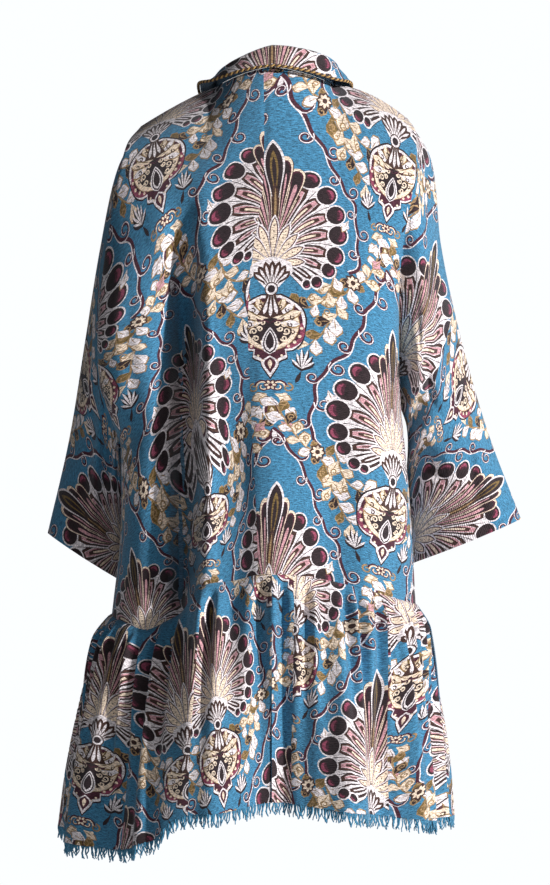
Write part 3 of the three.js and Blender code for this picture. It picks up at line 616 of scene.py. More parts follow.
def line_and_scrolls(flip):
    """A plum and a white line side by side, with scrolls that leave it to both sides in turn."""
    line = bend(LINE, 3.4) * flip
    way = np.gradient(line, axis=0)
    way /= np.linalg.norm(way, axis=1, keepdims=True)
    across = np.stack([-way[:, 1], way[:, 0]], 1)
    wave = 1.8 * np.sin(np.arange(len(line)) * 0.55)[:, None]
    line = line + across * wave
    shapes = [("plum", ribbon(line, np.full(len(line), 5.2)))]
    scrolls = []
    for n, at in enumerate(range(4, len(line) - 2, 8)):
        hand = 1 if n % 2 else -1
        r = 9.2 if n % 2 else 7.2
        centre = line[at] + across[at] * hand * r
        start = math.degrees(math.atan2(*(line[at] - centre)[::-1]))
        scrolls.append((*centre, r, start, 1.25 * hand))
    for x, y, r, start, turns in scrolls:
        shapes.append(("plum", spiral(x, y, r + 0.4, start, turns, 4.6)))
    shapes.append(("white", ribbon(line + across * 1.9 * flip[0], np.full(len(line), 1.3))))
    for x, y, r, start, turns in scrolls:
        shapes.append(("white", spiral(x, y, r + 1.6, start, turns, 1.2)))
    return shapes


def sprigs():
    """Palm sprigs beside the cartouche, and a trefoil and a lozenge with scrolls under it."""
    shapes = []
    for m in (1, -1):
        for x, y in ((30, -82), (36, -77), (43, -78), (47, -86), (48, -94), (24, -90)):
            shapes.append(("dark", petal((m * 33, -104), (m * x, y), 6, 4)))
            shapes.append(("white", petal((m * 33.5, -101), (m * (x - 0.6), y + 1.5), 2.8, 5)))
        shapes.append(("dark", petal((m * 33, -104), (m * 26, -120), 5, 4)))
        shapes.append(("plum", spiral(m * 8, -124, 8, 90 - m * 90, m * 1.2, 4.4)))
        shapes.append(("cream", spiral(m * 8, -124, 7, 90 - m * 90, m * 1.2, 1.8)))
        leaf(shapes, np.array([m * 4.0, -134]), np.array([m * 20.0, -142]), 8, "cream")
        leaf(shapes, np.array([m * 12.0, -150]), np.array([m * 24.0, -164]), 8, "white")
        leaf(shapes, np.array([m * 8.0, -172]), np.array([m * 20.0, -186]), 8, "pink")
        leaf(shapes, np.array([m * 60.0, -128]), np.array([m * 66.0, -146]), 8, "white")
        shapes.append(("gold", spiral(m * 18, -126, 6, 90, m * -1.2, 2.4)))
    rosette(shapes, 0, -122, 8, 6, "cream", "plum")
    shapes += [("white", petal((0, -176), (0, -138), 20, 4, 0.5)),
               ("plum", petal((0, -173), (0, -141), 16, 4, 0.5)),
               ("olive", petal((0, -169), (0, -145), 10, 4, 0.5)),
               ("cream", petal((0, -162), (0, -152), 4.6, 4, 0.5)),
               ("plum", petal((0, -204), (0, -180), 11, 4, 0.5)),
               ("white", petal((0, -200), (0, -184), 5.4, 4, 0.5))]
    return shapes


def motif():
    """One palmette with its cartouche, garlands and scroll lines, in the order of drawing."""
    half = half_palmette()
    shapes = line_and_scrolls((1, 1)) + line_and_scrolls((-1,
                                                          1)) + garland((1, 1)) + garland((-1, 1)) + sprigs()
    shapes += cartouche()
    for dye, p in half:
        shapes += [(dye, p), (dye, p * (-1, 1))]
    return shapes + middle_palmette() + stem()


MOTIF = [(dye, np.asarray(p, float), np.asarray(p).min(0), np.asarray(p).max(0)) for dye, p in motif()]
DYE_NAMES = list(DYES)
PITCH_X, PITCH_Y = 155.0, 450.0
FIRST_Y = -263.0  # the ring of the palmette on the middle line of the back


# From flat cloth to the worn form
def lengths(place, axis):
    """Distances along the rows or the columns of a grid of points, from its first line."""
    step = np.linalg.norm(np.diff(place, axis=axis), axis=-1)
    zero = np.zeros_like(np.take(step, [0], axis=axis))
    return np.cumsum(np.concatenate([zero, step], axis=axis), axis=axis)


def grid_normals(place, outward):
    across, down = np.gradient(place, axis=1), np.gradient(place, axis=0)
    normal = np.cross(down, across)
    normal /= np.linalg.norm(normal, axis=-1, keepdims=True) + 1e-12
    return normal if outward else -normal


def looks_out(side, face):
    return (side == "right") == (face == "back")


def grid_faces(rows, columns):
    a = (np.arange(rows - 1)[:, None] * columns + np.arange(columns - 1)[None, :]).ravel()
    return np.concatenate([np.stack([a, a + columns, a + columns + 1], 1),
                           np.stack([a, a + columns + 1, a + 1], 1)])


def border(rows, columns):
    """The numbers of a grid's border points, in order."""
    ids = np.arange(rows * columns).reshape(rows, columns)
    return np.concatenate([ids[0, :-1], ids[:-1, -1], ids[-1, :0:-1], ids[:0:-1, 0]])


def look_up(chart, flat):
    """Places and normals on the worn form of points on the flat cloth."""
    tree = chart.setdefault("tree", BVHTree.FromPolygons(
        [(x, y, 0.0) for x, y in chart["cloth"].reshape(-1, 2)], chart["faces"].tolist()))
    found = [tree.find_nearest((x, y, 0.0)) for x, y in flat]
    tri = chart["faces"][[f[2] for f in found]]
    at = np.array([f[0][:2] for f in found])
    cloth = chart["cloth"].reshape(-1, 2)
    a, b, c = cloth[tri[:, 0]], cloth[tri[:, 1]], cloth[tri[:, 2]]
    ab, ac, ap = b - a, c - a, at - a
    area = ab[:, 0] * ac[:, 1] - ab[:, 1] * ac[:, 0]
    area = np.where(np.abs(area) < 1e-9, 1e-9, area)
    wb = (ap[:, 0] * ac[:, 1] - ap[:, 1] * ac[:, 0]) / area
    wc = (ab[:, 0] * ap[:, 1] - ab[:, 1] * ap[:, 0]) / area
    w = np.stack([1 - wb - wc, wb, wc], 1)[..., None]
    place = (chart["place"].reshape(-1, 3)[tri] * w).sum(1)
    normal = (chart["normal"].reshape(-1, 3)[tri] * w).sum(1)
    return place, normal / (np.linalg.norm(normal, axis=1, keepdims=True) + 1e-12)


def within(points, polygon):
    """Which points lie inside a polygon."""
    a, b = polygon, np.roll(polygon, -1, axis=0)
    inside = np.zeros(len(points), bool)
    for first in range(0, len(points), 8000):
        x, y = points[first:first + 8000, :1], points[first:first + 8000, 1:]
        crosses = (a[:, 1] > y) != (b[:, 1] > y)
        rise = np.where(np.abs(b[:, 1] - a[:, 1]) < 1e-12, 1e-12, b[:, 1] - a[:, 1])
        left = x < a[:, 0] + (y - a[:, 1]) / rise * (b[:, 0] - a[:, 0])
        inside[first:first + 8000] = (crosses & left).sum(1) % 2 == 1
    return inside


def dyes_at(points, shapes):
    """The dye of the topmost shape at each point of the cloth."""
    order = np.argsort(points[:, 0])
    x, y = points[order, 0], points[order, 1]
    dye = np.zeros(len(points), int)
    open_ = np.ones(len(points), bool)
    for number, p in reversed(shapes):
        (x0, y0), (x1, y1) = p.min(0), p.max(0)
        first, last = np.searchsorted(x, (x0, x1))
        near = first + np.flatnonzero(open_[first:last] & (y[first:last] > y0) & (y[first:last] < y1))
        if len(near):
            hit = near[within(np.stack([x[near], y[near]], 1), p)]
            dye[hit], open_[hit] = number, False
    found = np.empty(len(points), int)
    found[order] = dye
    return found


def split(points, edges):
    """Triangles between points that keep the given edges."""
    verts, _, tris, _, _, _ = delaunay_2d_cdt([Vector(p) for p in points.tolist()], edges.tolist(), [], 0,
                                              1e-4, False)
    return np.array([tuple(v) for v in verts]), np.array(tris)


def ring_edges(rings):
    starts = np.cumsum([0] + [len(p) for p in rings])
    return np.vstack([np.stack([np.arange(len(p)), (np.arange(len(p)) + 1) % len(p)], 1) + s
                      for s, p in zip(starts, rings)])


def tile_lines():
    """The lines between two dyes in one cell of the repeat, with everything hidden taken out."""
    half = np.array([PITCH_X, PITCH_Y]) / 2
    shapes = ornament(-half, half, 0.0)
    box = np.array([(-half[0], -half[1]), (half[0], -half[1]), (half[0], half[1]), (-half[0], half[1])])
    rings = [box] + [p for _, p in shapes]
    flat, tris = split(np.vstack(rings), ring_edges(rings))
    centre = flat[tris].mean(1)
    inside = (np.abs(centre) < half).all(1)
    zone = np.where(inside, dyes_at(centre, shapes), -1)
    sides = np.concatenate([tris[:, [0, 1]], tris[:, [1, 2]], tris[:, [2, 0]]])
    sides.sort(axis=1)
    theirs = np.tile(zone, 3)
    order = np.lexsort((sides[:, 1], sides[:, 0]))
    sides, theirs = sides[order], theirs[order]
    same = (sides[:-1] == sides[1:]).all(1)
    line = sides[:-1][same & (theirs[:-1] != theirs[1:]) & (theirs[:-1] >= 0) & (theirs[1:] >= 0)]
    used, line = np.unique(line, return_inverse=True)
    return flat[used], line.reshape(-1, 2)


def cells(low, high, first_y=FIRST_Y):
    """The places of the repeat's cells that a box of the cloth meets."""
    found = []
    for column in range(int(low[0] // PITCH_X) - 1, int(high[0] // PITCH_X) + 3):
        shift = first_y + (PITCH_Y / 2 if column % 2 else 0)
        for row in range(int((low[1] - shift) // PITCH_Y) - 1, int((high[1] - shift) // PITCH_Y) + 3):
            found.append(np.array([column * PITCH_X, shift + row * PITCH_Y]))
    return found


def ornament(low, high, first_y=FIRST_Y):
    """Every shape of the repeat that falls in a box of the cloth."""
    found = []
    for at in cells(low, high, first_y):
        for dye, p, p_low, p_high in MOTIF:
            if (p_low + at < high).all() and (p_high + at > low).all():
                found.append((DYE_NAMES.index(dye), p + at))
    return found


def lines_in(low, high):
    points, edges, count = [], [], 0
    for at in cells(low, high):
        p = TILE[0] + at
        near = ((p > low - 4) & (p < high + 4)).all(1)
        kept = TILE[1][near[TILE[1]].all(1)]
        if len(kept):
            used, kept = np.unique(kept, return_inverse=True)
            points.append(p[used])
            edges.append(kept.reshape(-1, 2) + count)
            count += len(used)
    return np.vstack(points), np.vstack(edges)


def border_of(faces):
    """The directed edges that belong to one triangle only."""
    edges = np.concatenate([faces[:, [0, 1]], faces[:, [1, 2]], faces[:, [2, 0]]])
    _, first, count = np.unique(np.sort(edges, 1), axis=0, return_index=True, return_counts=True)
    return edges[first[count == 1]]


def cut_out(points, edges, outline):
    """Triangles between points, inside an outline that is the first of them."""
    flat, tris = split(points, edges)
    tris = tris[within(flat[tris].mean(1), outline)]
    used, tris = np.unique(tris, return_inverse=True)
    return flat[used], tris.reshape(-1, 3)


def nearest(points, others):
    """The number of the nearest of the others to each point."""
    tree = KDTree(len(others))
    for i, p in enumerate(others):
        tree.insert((p[0], p[1], 0), i)
    tree.balance()
    return np.array([tree.find((p[0], p[1], 0))[1] for p in points])


def tailor(chart):
    """The outer side in its ornament, the plain wrong side and the rim between them, for one chart."""
    rows, columns = chart["place"].shape[:2]
    cloth = chart["cloth"]
    outline = cloth.reshape(-1, 2)[border(rows, columns)[::2]]
    low, high = outline.min(0), outline.max(0)
    drawn, lines = lines_in(low, high)
    step, wrong_step = (2, 3) if chart["face"] == "back" else (3, 5)
    points = np.vstack([outline, drawn, cloth[2:-1:step, 2:-1:step].reshape(-1, 2)])
    flat, faces = cut_out(points, np.vstack([ring_edges([outline]), lines + len(outline)]), outline)
    zone = dyes_at(flat[faces].mean(1), ornament(low, high))
    place, normal = look_up(chart, flat)
    edge = border_of(faces)
    ids, edge_in = np.unique(edge, return_inverse=True)
    points = np.vstack([flat[ids], cloth[2:-2:wrong_step, 2:-2:wrong_step].reshape(-1, 2)])
    back_flat, back_f = cut_out(points, edge_in.reshape(-1, 2), outline)
    back_place, back_normal = look_up(chart, back_flat)
    count = len(flat)
    pair = dict(zip(ids.tolist(), (nearest(flat[ids], back_flat) + count).tolist()))
    rim = np.array([t for a, b in edge.tolist() for t in ((b, a, pair[a]), (b, pair[a], pair[b]))])
    all_faces = np.vstack([faces, back_f[:, ::-1] + count, rim])
    if chart["face"] == "front":
        all_faces = all_faces[:, ::-1]
    return {"place": np.vstack([place, back_place - back_normal * WALL]),
            "normal": np.vstack([normal, -back_normal]),
            "faces": all_faces, "cloth": np.vstack([flat, back_flat]), "low": low, "size": high - low,
            "zone": np.concatenate([zone, np.full(len(back_f), -1), np.full(len(rim), -2)])}


def linear(rgb):
    c = np.asarray(rgb, float) / 255
    return np.where(c <= 0.04045, c / 12.92, ((c + 0.055) / 1.055) ** 2.4)


DYE_TABLE = np.array([[*linear(DYES[name]), 1.0] for name in DYE_NAMES])
WRONG_DYE = np.array([*linear((86, 120, 146)), 1.0])
RIM_DYE = np.array([*linear((52, 112, 150)), 1.0])


def bake_layout(parts):
    """Where each part's flat cloth lies in the unit square: outer sides in one row, wrong sides above it."""
    gap = 12
    width = sum(p["size"][0] + gap for p in parts) + gap
    tall = max(p["size"][1] for p in parts) * 1.5 + 4 * gap
    scale = 1 / max(width, tall)
    x, places = gap, []
    top = max(p["size"][1] for p in parts) + 2 * gap
    for p in parts:
        outer = (p["cloth"] - p["low"] + (x, gap)) * scale
        wrong = ((p["cloth"] - p["low"]) * 0.5 + (x, top)) * scale
        places.append((outer, wrong))
        x += p["size"][0] + gap
    return places


def make_mesh(name, parts, material):
    place = np.vstack([p["place"] for p in parts]) * MM
    normal = np.vstack([p["normal"] for p in parts])
    starts = np.cumsum([0] + [len(p["place"]) for p in parts])
    faces = np.vstack([p["faces"] + s for p, s in zip(parts, starts)])
    zone = np.concatenate([p["zone"] for p in parts])
    mesh = bpy.data.meshes.new(name)
    mesh.from_pydata(place.tolist(), [], faces.tolist())
    corners = np.zeros(len(mesh.loops), int)
    mesh.loops.foreach_get("vertex_index", corners)
    tinted = np.where((zone >= 0)[:, None], DYE_TABLE[zone.clip(0)], WRONG_DYE)
    tinted[zone == -2] = RIM_DYE
    colour = mesh.color_attributes.new("dye", "FLOAT_COLOR", "CORNER")
    colour.data.foreach_set("color", np.repeat(tinted, 3, axis=0).astype(np.float32).ravel())
    cloth = np.vstack([p["cloth"] for p in parts]) * MM
    layout = bake_layout(parts)
    outer, wrong = (np.vstack([pair[k] for pair in layout]) for k in (0, 1))
    uv = mesh.uv_layers.new(name="cloth")
    uv.data.foreach_set("uv", cloth[corners].astype(np.float32).ravel())
    bake = mesh.uv_layers.new(name="OFBake")
    chosen = np.where((np.repeat(zone, 3) >= 0)[:, None], outer[corners], wrong[corners])
    bake.data.foreach_set("uv", chosen.astype(np.float32).ravel())
    mesh.validate(clean_customdata=False)
    smooth_faces = zone != -2
    mesh.polygons.foreach_set("use_smooth", smooth_faces)
    mesh.normals_split_custom_set_from_vertices(normal.tolist())
    mesh.materials.append(material)
    piece = bpy.data.objects.new(name, mesh)
    bpy.context.scene.collection.objects.link(piece)
    return piece


# Materials
def node(tree, kind, **values):
    made = tree.nodes.new(kind)
    for key, value in values.items():
        if key in made.inputs and not hasattr(type(made), key):
            made.inputs[key].default_value = value
        else:
            setattr(made, key, value)
    return made


def new_material(name, roughness, sheen, sheen_tint=(1, 1, 1, 1)):
    material = bpy.data.materials.new(name)
    material.use_nodes = True
    tree = material.node_tree
    shader = tree.nodes["Principled BSDF"]
    shader.inputs["Roughness"].default_value = roughness
    shader.inputs["Sheen Weight"].default_value = sheen
    shader.inputs["Sheen Roughness"].default_value = 0.5
    shader.inputs["Sheen Tint"].default_value = sheen_tint
    shader.inputs["Specular IOR Level"].default_value = 0.25
    return material, tree, shader


def chenille():
    """The tapestry: dyed zones, heathered weft streaks, short pile and a fine rib."""
    material, tree, shader = new_material("chenille_tapestry", 0.86, 0.22, (0.85, 0.93, 1, 1))
    link = tree.links.new
    dye = node(tree, "ShaderNodeAttribute", attribute_name="dye")
    uv = node(tree, "ShaderNodeUVMap", uv_map="cloth")
    stretch = node(tree, "ShaderNodeMapping")
    stretch.inputs["Scale"].default_value = (170, 700, 1)
    link(uv.outputs["UV"], stretch.inputs["Vector"])
    streak = node(tree, "ShaderNodeTexNoise", noise_dimensions="2D")
    streak.inputs["Scale"].default_value = 1.0
    streak.inputs["Detail"].default_value = 2.0
    streak.inputs["Roughness"].default_value = 0.65
    link(stretch.outputs["Vector"], streak.inputs["Vector"])
    grain = node(tree, "ShaderNodeTexNoise", noise_dimensions="2D")
    grain.inputs["Scale"].default_value = 640.0
    grain.inputs["Detail"].default_value = 1.0
    link(uv.outputs["UV"], grain.inputs["Vector"])
    both = node(tree, "ShaderNodeMath", operation="ADD")
    link(streak.outputs["Fac"], both.inputs[0])
    half = node(tree, "ShaderNodeMath", operation="MULTIPLY")
    half.inputs[1].default_value = 0.45
    link(grain.outputs["Fac"], half.inputs[0])
    link(half.outputs[0], both.inputs[1])
    ramp = node(tree, "ShaderNodeMapRange")
    for key, value in (("From Min", 0.5), ("From Max", 0.95), ("To Min", 0.46), ("To Max", 1.6)):
        ramp.inputs[key].default_value = value
    link(both.outputs[0], ramp.inputs["Value"])
    shade = node(tree, "ShaderNodeMix", data_type="RGBA", blend_type="MULTIPLY")
    shade.inputs["Factor"].default_value = 1.0
    link(dye.outputs["Color"], shade.inputs[6])
    link(ramp.outputs["Result"], shade.inputs[7])
    link(shade.outputs[2], shader.inputs["Base Color"])
    rib = node(tree, "ShaderNodeTexWave", wave_type="BANDS", bands_direction="Y")
    rib.inputs["Scale"].default_value = 130.0
    rib.inputs["Distortion"].default_value = 2.0
    rib.inputs["Detail"].default_value = 2.0
    link(uv.outputs["UV"], rib.inputs["Vector"])
    relief = node(tree, "ShaderNodeMath", operation="ADD")
    link(rib.outputs["Fac"], relief.inputs[0])
    link(both.outputs[0], relief.inputs[1])
    bump = node(tree, "ShaderNodeBump")
    bump.inputs["Strength"].default_value = 0.55
    bump.inputs["Distance"].default_value = 0.0008
    link(relief.outputs[0], bump.inputs["Height"])
    link(bump.outputs["Normal"], shader.inputs["Normal"])
    return material


def yarn(name, first, second, scale, roughness=0.9, sheen=0.3):
    """A spun yarn in two tones."""
    material, tree, shader = new_material(name, roughness, sheen)
    link = tree.links.new
    place = node(tree, "ShaderNodeTexCoord")
    noise = node(tree, "ShaderNodeTexNoise")
    noise.inputs["Scale"].default_value = scale
    noise.inputs["Detail"].default_value = 3.0
    link(place.outputs["Object"], noise.inputs["Vector"])
    blend = node(tree, "ShaderNodeMix", data_type="RGBA")
    blend.inputs[6].default_value = (*linear(first), 1)
    blend.inputs[7].default_value = (*linear(second), 1)
    spread = node(tree, "ShaderNodeMapRange")
    spread.inputs["From Min"].default_value = 0.35
    spread.inputs["From Max"].default_value = 0.65
    link(noise.outputs["Fac"], spread.inputs["Value"])
    link(spread.outputs["Result"], blend.inputs[0])
    link(blend.outputs[2], shader.inputs["Base Color"])
    bump = node(tree, "ShaderNodeBump")
    bump.inputs["Strength"].default_value = 0.5
    bump.inputs["Distance"].default_value = 0.0006
    link(noise.outputs["Fac"], bump.inputs["Height"])
    link(bump.outputs["Normal"], shader.inputs["Normal"])
    return material


# Charts: each part of the coat as a grid of places with its flat coordinates
CAMERA_AT, FOCAL, MIDDLE = (-4, 4200, -465), 3136, (275, 442.5)
# where the two halves of the pattern don't meet
MIDDLE_SHIFT = {"right": (-9.75, 0), "left": (-19.6, -29)}
CUFF_X = 668
# where the right sleeve's deep elbow fold hides part of the pattern, as a share of its length
ELBOW = 0.47
# Where features of the ornament lie: in the photograph's pixels, and in the repeat's millimetres. 90 of the
# 113 were measured on enlarged crops. The others weren't, and are estimates.
FEATURES = {
    ("body", "right"): [
        (273.5, 289, 0, -263), (338, 235, 84, -191), (272, 143, 0, -72), (328, 271, 73, -240),
                        (394, 142, 155, -38),
        (389, 189, 155, -103), (357, 114, 97, -31), (339, 90, 73, 5), (374, 167, 114, -83),
                        (275, 410, 0, -420),
        (394, 482, 155, -488), (377, 363, 119, -345), (345, 390, 80, -388), (338, 411, 71, -416),
                        (344, 448, 81, -465),
        (363, 468, 110, -483), (386, 533, 155, -553), (381, 564, 155, -600), (276, 484, 0, -522),
                        (300, 521, 36, -570),
        (319, 558, 75, -613), (323, 578, 84, -641)],
    ("body", "left"): [
        (223, 189, -75, -163), (220, 214, -84, -191), (238, 258, -58, -256), (251, 158, -36, -120),
        (155, 136, -155, -38), (163, 211, -155, -148), (170, 252, -155, -195), (184, 326, -155, -297),
        (208, 462, -155, -453), (160, 420, -239, -416), (160, 444, -237, -445), (172, 475, -213, -481),
        (173, 374, -212, -363), (226, 411, -73, -445), (213, 438, -97, -481), (107, 263, -252, -138),
        (119, 298, -226, -191), (108, 331, -236, -240), (265, 500, -36, -570), (248, 539, -75, -613),
        (132, 551, -310, -522), (152, 571, -274, -570), (167, 578, -252, -588), (144, 630, -310, -670)],
    ("sleeve", "right", 0): [
        (398, 357, 310, -228), (403, 274, 252, -138), (412, 262, 252, -138), (400, 270, 235, -163),
                             (427, 248, 310, -72),
        (431, 261, 274, -120), (423, 356, 350, -216), (433, 377, 355, -258), (449, 366, 383, -240)],
    ("sleeve", "right", 1): [
        (458, 407, 465, -118), (460, 383, 465, -88), (413, 539, 620, -228), (427, 471, 536, -191),
        (444, 469, 545, -163), (464, 468, 562, -138), (478, 472, 584, -120), (499, 480, 620, -72),
                             (497, 511, 656, -120)],
    ("sleeve", "left", 1): [
        (115, 279, -226, -191), (119, 297, -228, -220), (116, 316, -236, -240), (101, 340, -265, -258),
        (117, 421, -278, -355),
        (126, 553, -620, -228), (63, 498, -620, -72), (89, 482, -584, -120), (100, 483, -562, -138),
        (69, 522, -656, -120), (92, 393, -310, -328)],
    ("flounce", "left", 0): [
        (216.7, 724.7, 0, -713), (219, 697, 0, -678), (222.5, 777.4, 0, -778), (225.8, 807.2, 0, -823),
        (258.2, 794, 80, -838), (258.2, 688.7, 105, -701), (269.8, 774.1, 97.5, -813),
                             (242, 650, 75, -613)],
    ("flounce", "left", 1): [
        (192.7, 755.8, -310, -713), (186, 701, -310, -651), (159.5, 654.7, -346, -570),
                             (144.6, 668.8, -367.5, -588),
        (159.5, 756.7, -368, -706), (187.7, 813.9, -310, -823), (136.3, 733.4, -415, -701)],
    ("flounce", "left", 2): [
        (104.8, 738, -620, -713), (101.5, 706, -620, -655), (104.8, 643.9, -656, -570),
                             (84.9, 777, -620, -770)],
    ("flounce", "right", 0): [(283.1, 757.5, 119.4, -795), (278, 700, 120, -720)],
    ("flounce", "right", 1): [
        (301.3, 634.8, 0, -713), (321.2, 621.5, 58, -706), (331.2, 614.9, 73.5, -690),
                              (371.8, 816.4, 155, -938),
        (381.7, 671.3, 155, -747), (358.5, 701.1, 119.4, -795), (333.6, 746.7, 71.2, -866),
                              (337, 795.6, 97, -931),
        (310.4, 779.9, 50, -926)],
    ("flounce", "right", 2): [
        (411, 649, 310, -713), (409.1, 700.3, 310, -778), (405, 731.8, 310, -823),
                              (396.7, 768.3, 310, -870),
        (434.8, 694.5, 429.4, -795), (428.2, 712.7, 407.5, -813), (424.9, 771.6, 391.5, -915),
                              (440.6, 788.2, 420, -933)],
}
# deep folds, in the photograph's pixels
FLOUNCE_CUTS = {"left": (193.5, 130), "right": (293, 387.5)}


def seen_at(place):
    """Where the photograph's camera sees points of the worn form."""
    share = FOCAL / (CAMERA_AT[1] - place[..., 1])
    return np.stack([MIDDLE[0] - (place[..., 0] - CAMERA_AT[0]) * share,
                     MIDDLE[1] - (place[..., 2] - CAMERA_AT[2]) * share], -1)


def fit(key, place, cloth, free=1.0, reach=70.0, ease=0.06, calm=0.0):
    """The flat coordinates drawn smoothly towards the features that the photograph shows."""
    rows = np.array(FEATURES[key], float)
    seen = seen_at(place).reshape(-1, 2)
    flat = cloth.reshape(-1, 2)
    ids = np.array([np.argmin(((seen - row[:2]) ** 2).sum(1)) for row in rows])
    base, want = flat[ids], rows[:, 2:]
    centre = base.mean(0)
    known = np.column_stack([(base - centre) / 100, np.ones(len(base))])
    trend = np.linalg.solve(known.T @ known + np.diag([calm, calm, 1e-9]), known.T @ (want - base))
    flat_trend = np.column_stack([(flat - centre) / 100, np.ones(len(flat))]) @ trend
    rest = want - base - flat_trend[ids]
    near = np.exp(-((base[:, None] - base[None]) ** 2).sum(-1) / (2 * reach**2))
    weight = np.linalg.solve(near + ease * np.eye(len(base)), rest)
    moved = flat_trend + np.exp(-((flat[:, None] - base[None]) ** 2).sum(-1) / (2 * reach**2)) @ weight
    return unfolded(cloth, moved.reshape(cloth.shape) * free)


def turned(cloth):
    """The signed area of each cell of the flat coordinates."""
    along, down = np.diff(cloth, axis=1)[:-1], np.diff(cloth, axis=0)[:, :-1]
    return along[..., 0] * down[..., 1] - along[..., 1] * down[..., 0]


def unfolded(cloth, moved):
    """The flat coordinates moved as far as they can be before the cloth folds over itself anywhere."""
    for share in np.arange(1, 0, -0.05):
        area = turned(cloth + moved * share)
        if (area > 0.02).all() or (area < -0.02).all():
            return cloth + moved * share
    return cloth


def chart_of(side, face, place, cloth):
    rows, columns = place.shape[:2]
    return {"place": place, "cloth": cloth, "normal": grid_normals(place, looks_out(side, face)),
            "face": face,
            "faces": grid_faces(rows, columns)}


def deep_fold(place, v):
    """How far the cloth goes inwards in the deep fold, and comes out in the ridge beside it."""
    heights, ridge, depth = np.array(DEEP_FOLD, float).T
    away = place[..., 0] - np.interp(place[..., 2], heights, ridge)
    deep = np.interp(place[..., 2], heights, depth) * smooth(1, 0.95, v)[:, None]
    return deep * (-smooth(0, 9, away) * smooth(48, 30, away) + 0.16 * np.exp(-(((away + 7) / 9) ** 2)))


def body_chart(side, face):
    u, v = np.linspace(0, 1, 97), np.linspace(0, 1, 241)
    if (side, face) == ("left", "back"):
        u = np.linspace(SEAM_U, 1, 93)
    place = body_surface(side, face, u, v)
    if (side, face) == ("right", "back"):
        past = body_surface("left", "back", np.linspace(SEAM_U, 0, 6)[:-1], v)
        place = np.concatenate([past, place], 1)
    along, down = lengths(place, 1), lengths(place, 0)
    ref = int(0.4 * (len(v) - 1))
    sag = 30 * (place[ref, :, 0] / 155) ** 2
    y = (place[ref, :, 2] + sag)[None] - (down - down[ref][None])
    cloth = np.stack([along * -SIDES[side]["sign"], y], -1)
    if face == "back":
        cloth = fit(("body", side), place, cloth + MIDDLE_SHIFT[side])
    if (side, face) == ("left", "back"):
        place[..., 1] += deep_fold(place, v)
    return chart_of(side, face, place, cloth)


def sleeve_charts(side, face, body):
    b, t = np.linspace(0, 1, 151), np.linspace(0, 1, int(240 * UNDERARM) + 1)
    place = sleeve_surface(side, face, b, t)
    edge = body["cloth"][: len(t), -1]
    across, depth = lengths(place, 1), lengths(place, 0)
    share = across / across[:, -1:]
    hidden = 100 * smooth(0.3, 0.8, t) if side == "right" else 60 * smooth(0.4, 0.9, t)
    x = mix((np.abs(edge[:, 0]) + hidden)[:, None], CUFF_X, share)
    lift = 88 * smooth(0.2, 0.85, t)
    y = mix((edge[:, 1] + lift)[:, None], -78 - depth[:, -1:], share)
    cloth = np.stack([x * -SIDES[side]["sign"], y], -1)
    sleeve = chart_of(side, face, place, cloth)
    if face == "front":
        return [sleeve]
    joined = np.maximum(smooth(0, 0.2, share + 0 * x), smooth(0.25, 0.45, t)[:, None])[..., None]
    if side == "left":
        return [dict(sleeve, cloth=fit(("sleeve", side, 1), place, cloth, joined, 90.0, 0.15, 0.3))]
    elbow = int(ELBOW * (len(b) - 1))
    upper, lower = slice(0, elbow + 1), slice(elbow, len(b))
    charts = []
    for n, part in enumerate((upper, lower)):
        flat = fit(("sleeve", side, n), place[:, part], cloth[:, part],
                   joined[:, part] if n == 0 else 1.0, 90.0, 0.15, 0.2)
        charts.append(dict(sleeve, place=place[:, part], cloth=flat, normal=sleeve["normal"][:, part],
                           faces=grid_faces(len(t), flat.shape[1])))
    return charts


def flounce_charts(side, face):
    """The gathered flounce, at the back cut where the pattern goes out of sight in a deep fold."""
    u, v = np.linspace(0, 1, 241), np.linspace(0, 1, 121)
    place = flounce_surface(side, face, u, v)
    along, down = lengths(place, 1), lengths(place, 0)
    x = np.broadcast_to(along[80][None], along.shape)
    cloth = np.stack([x * -SIDES[side]["sign"], -down - 475], -1)
    whole_chart = chart_of(side, face, place, cloth)
    if face == "front":
        return [whole_chart]
    seen = seen_at(place)[60, :, 0]
    ends = [0] + [int(np.argmin(np.abs(seen - cut))) for cut in FLOUNCE_CUTS[side]] + [len(u) - 1]
    charts = []
    for n, (first, last) in enumerate(zip(ends, ends[1:])):
        part = slice(first, last + 1)
        flat = fit(("flounce", side, n), place[:, part], cloth[:, part], 1.0, 90.0, 0.3, 0.5)
        charts.append(dict(whole_chart, place=place[:, part], cloth=flat,
                           normal=whole_chart["normal"][:, part],
                           faces=grid_faces(len(v), last + 1 - first)))
    return charts


def share_normals(body, sleeve):
    """One normal for body and sleeve along the line where they meet."""
    n = sleeve["normal"].shape[0]
    both = body["normal"][:n, -1] + sleeve["normal"][:, 0]
    both /= np.linalg.norm(both, axis=1, keepdims=True)
    body["normal"][:n, -1] = both
    sleeve["normal"][:, 0] = both


def neck_seam(side, c):
    u = np.where(c < 0.5, c * 2, 2 - c * 2) * NECK_SHARE * 0.9999
    edge = np.where((c < 0.5)[:, None], top_edge(side, "back", u), top_edge(side, "front", u))
    edge[:, 0] *= SIDES[side]["sign"]
    return edge


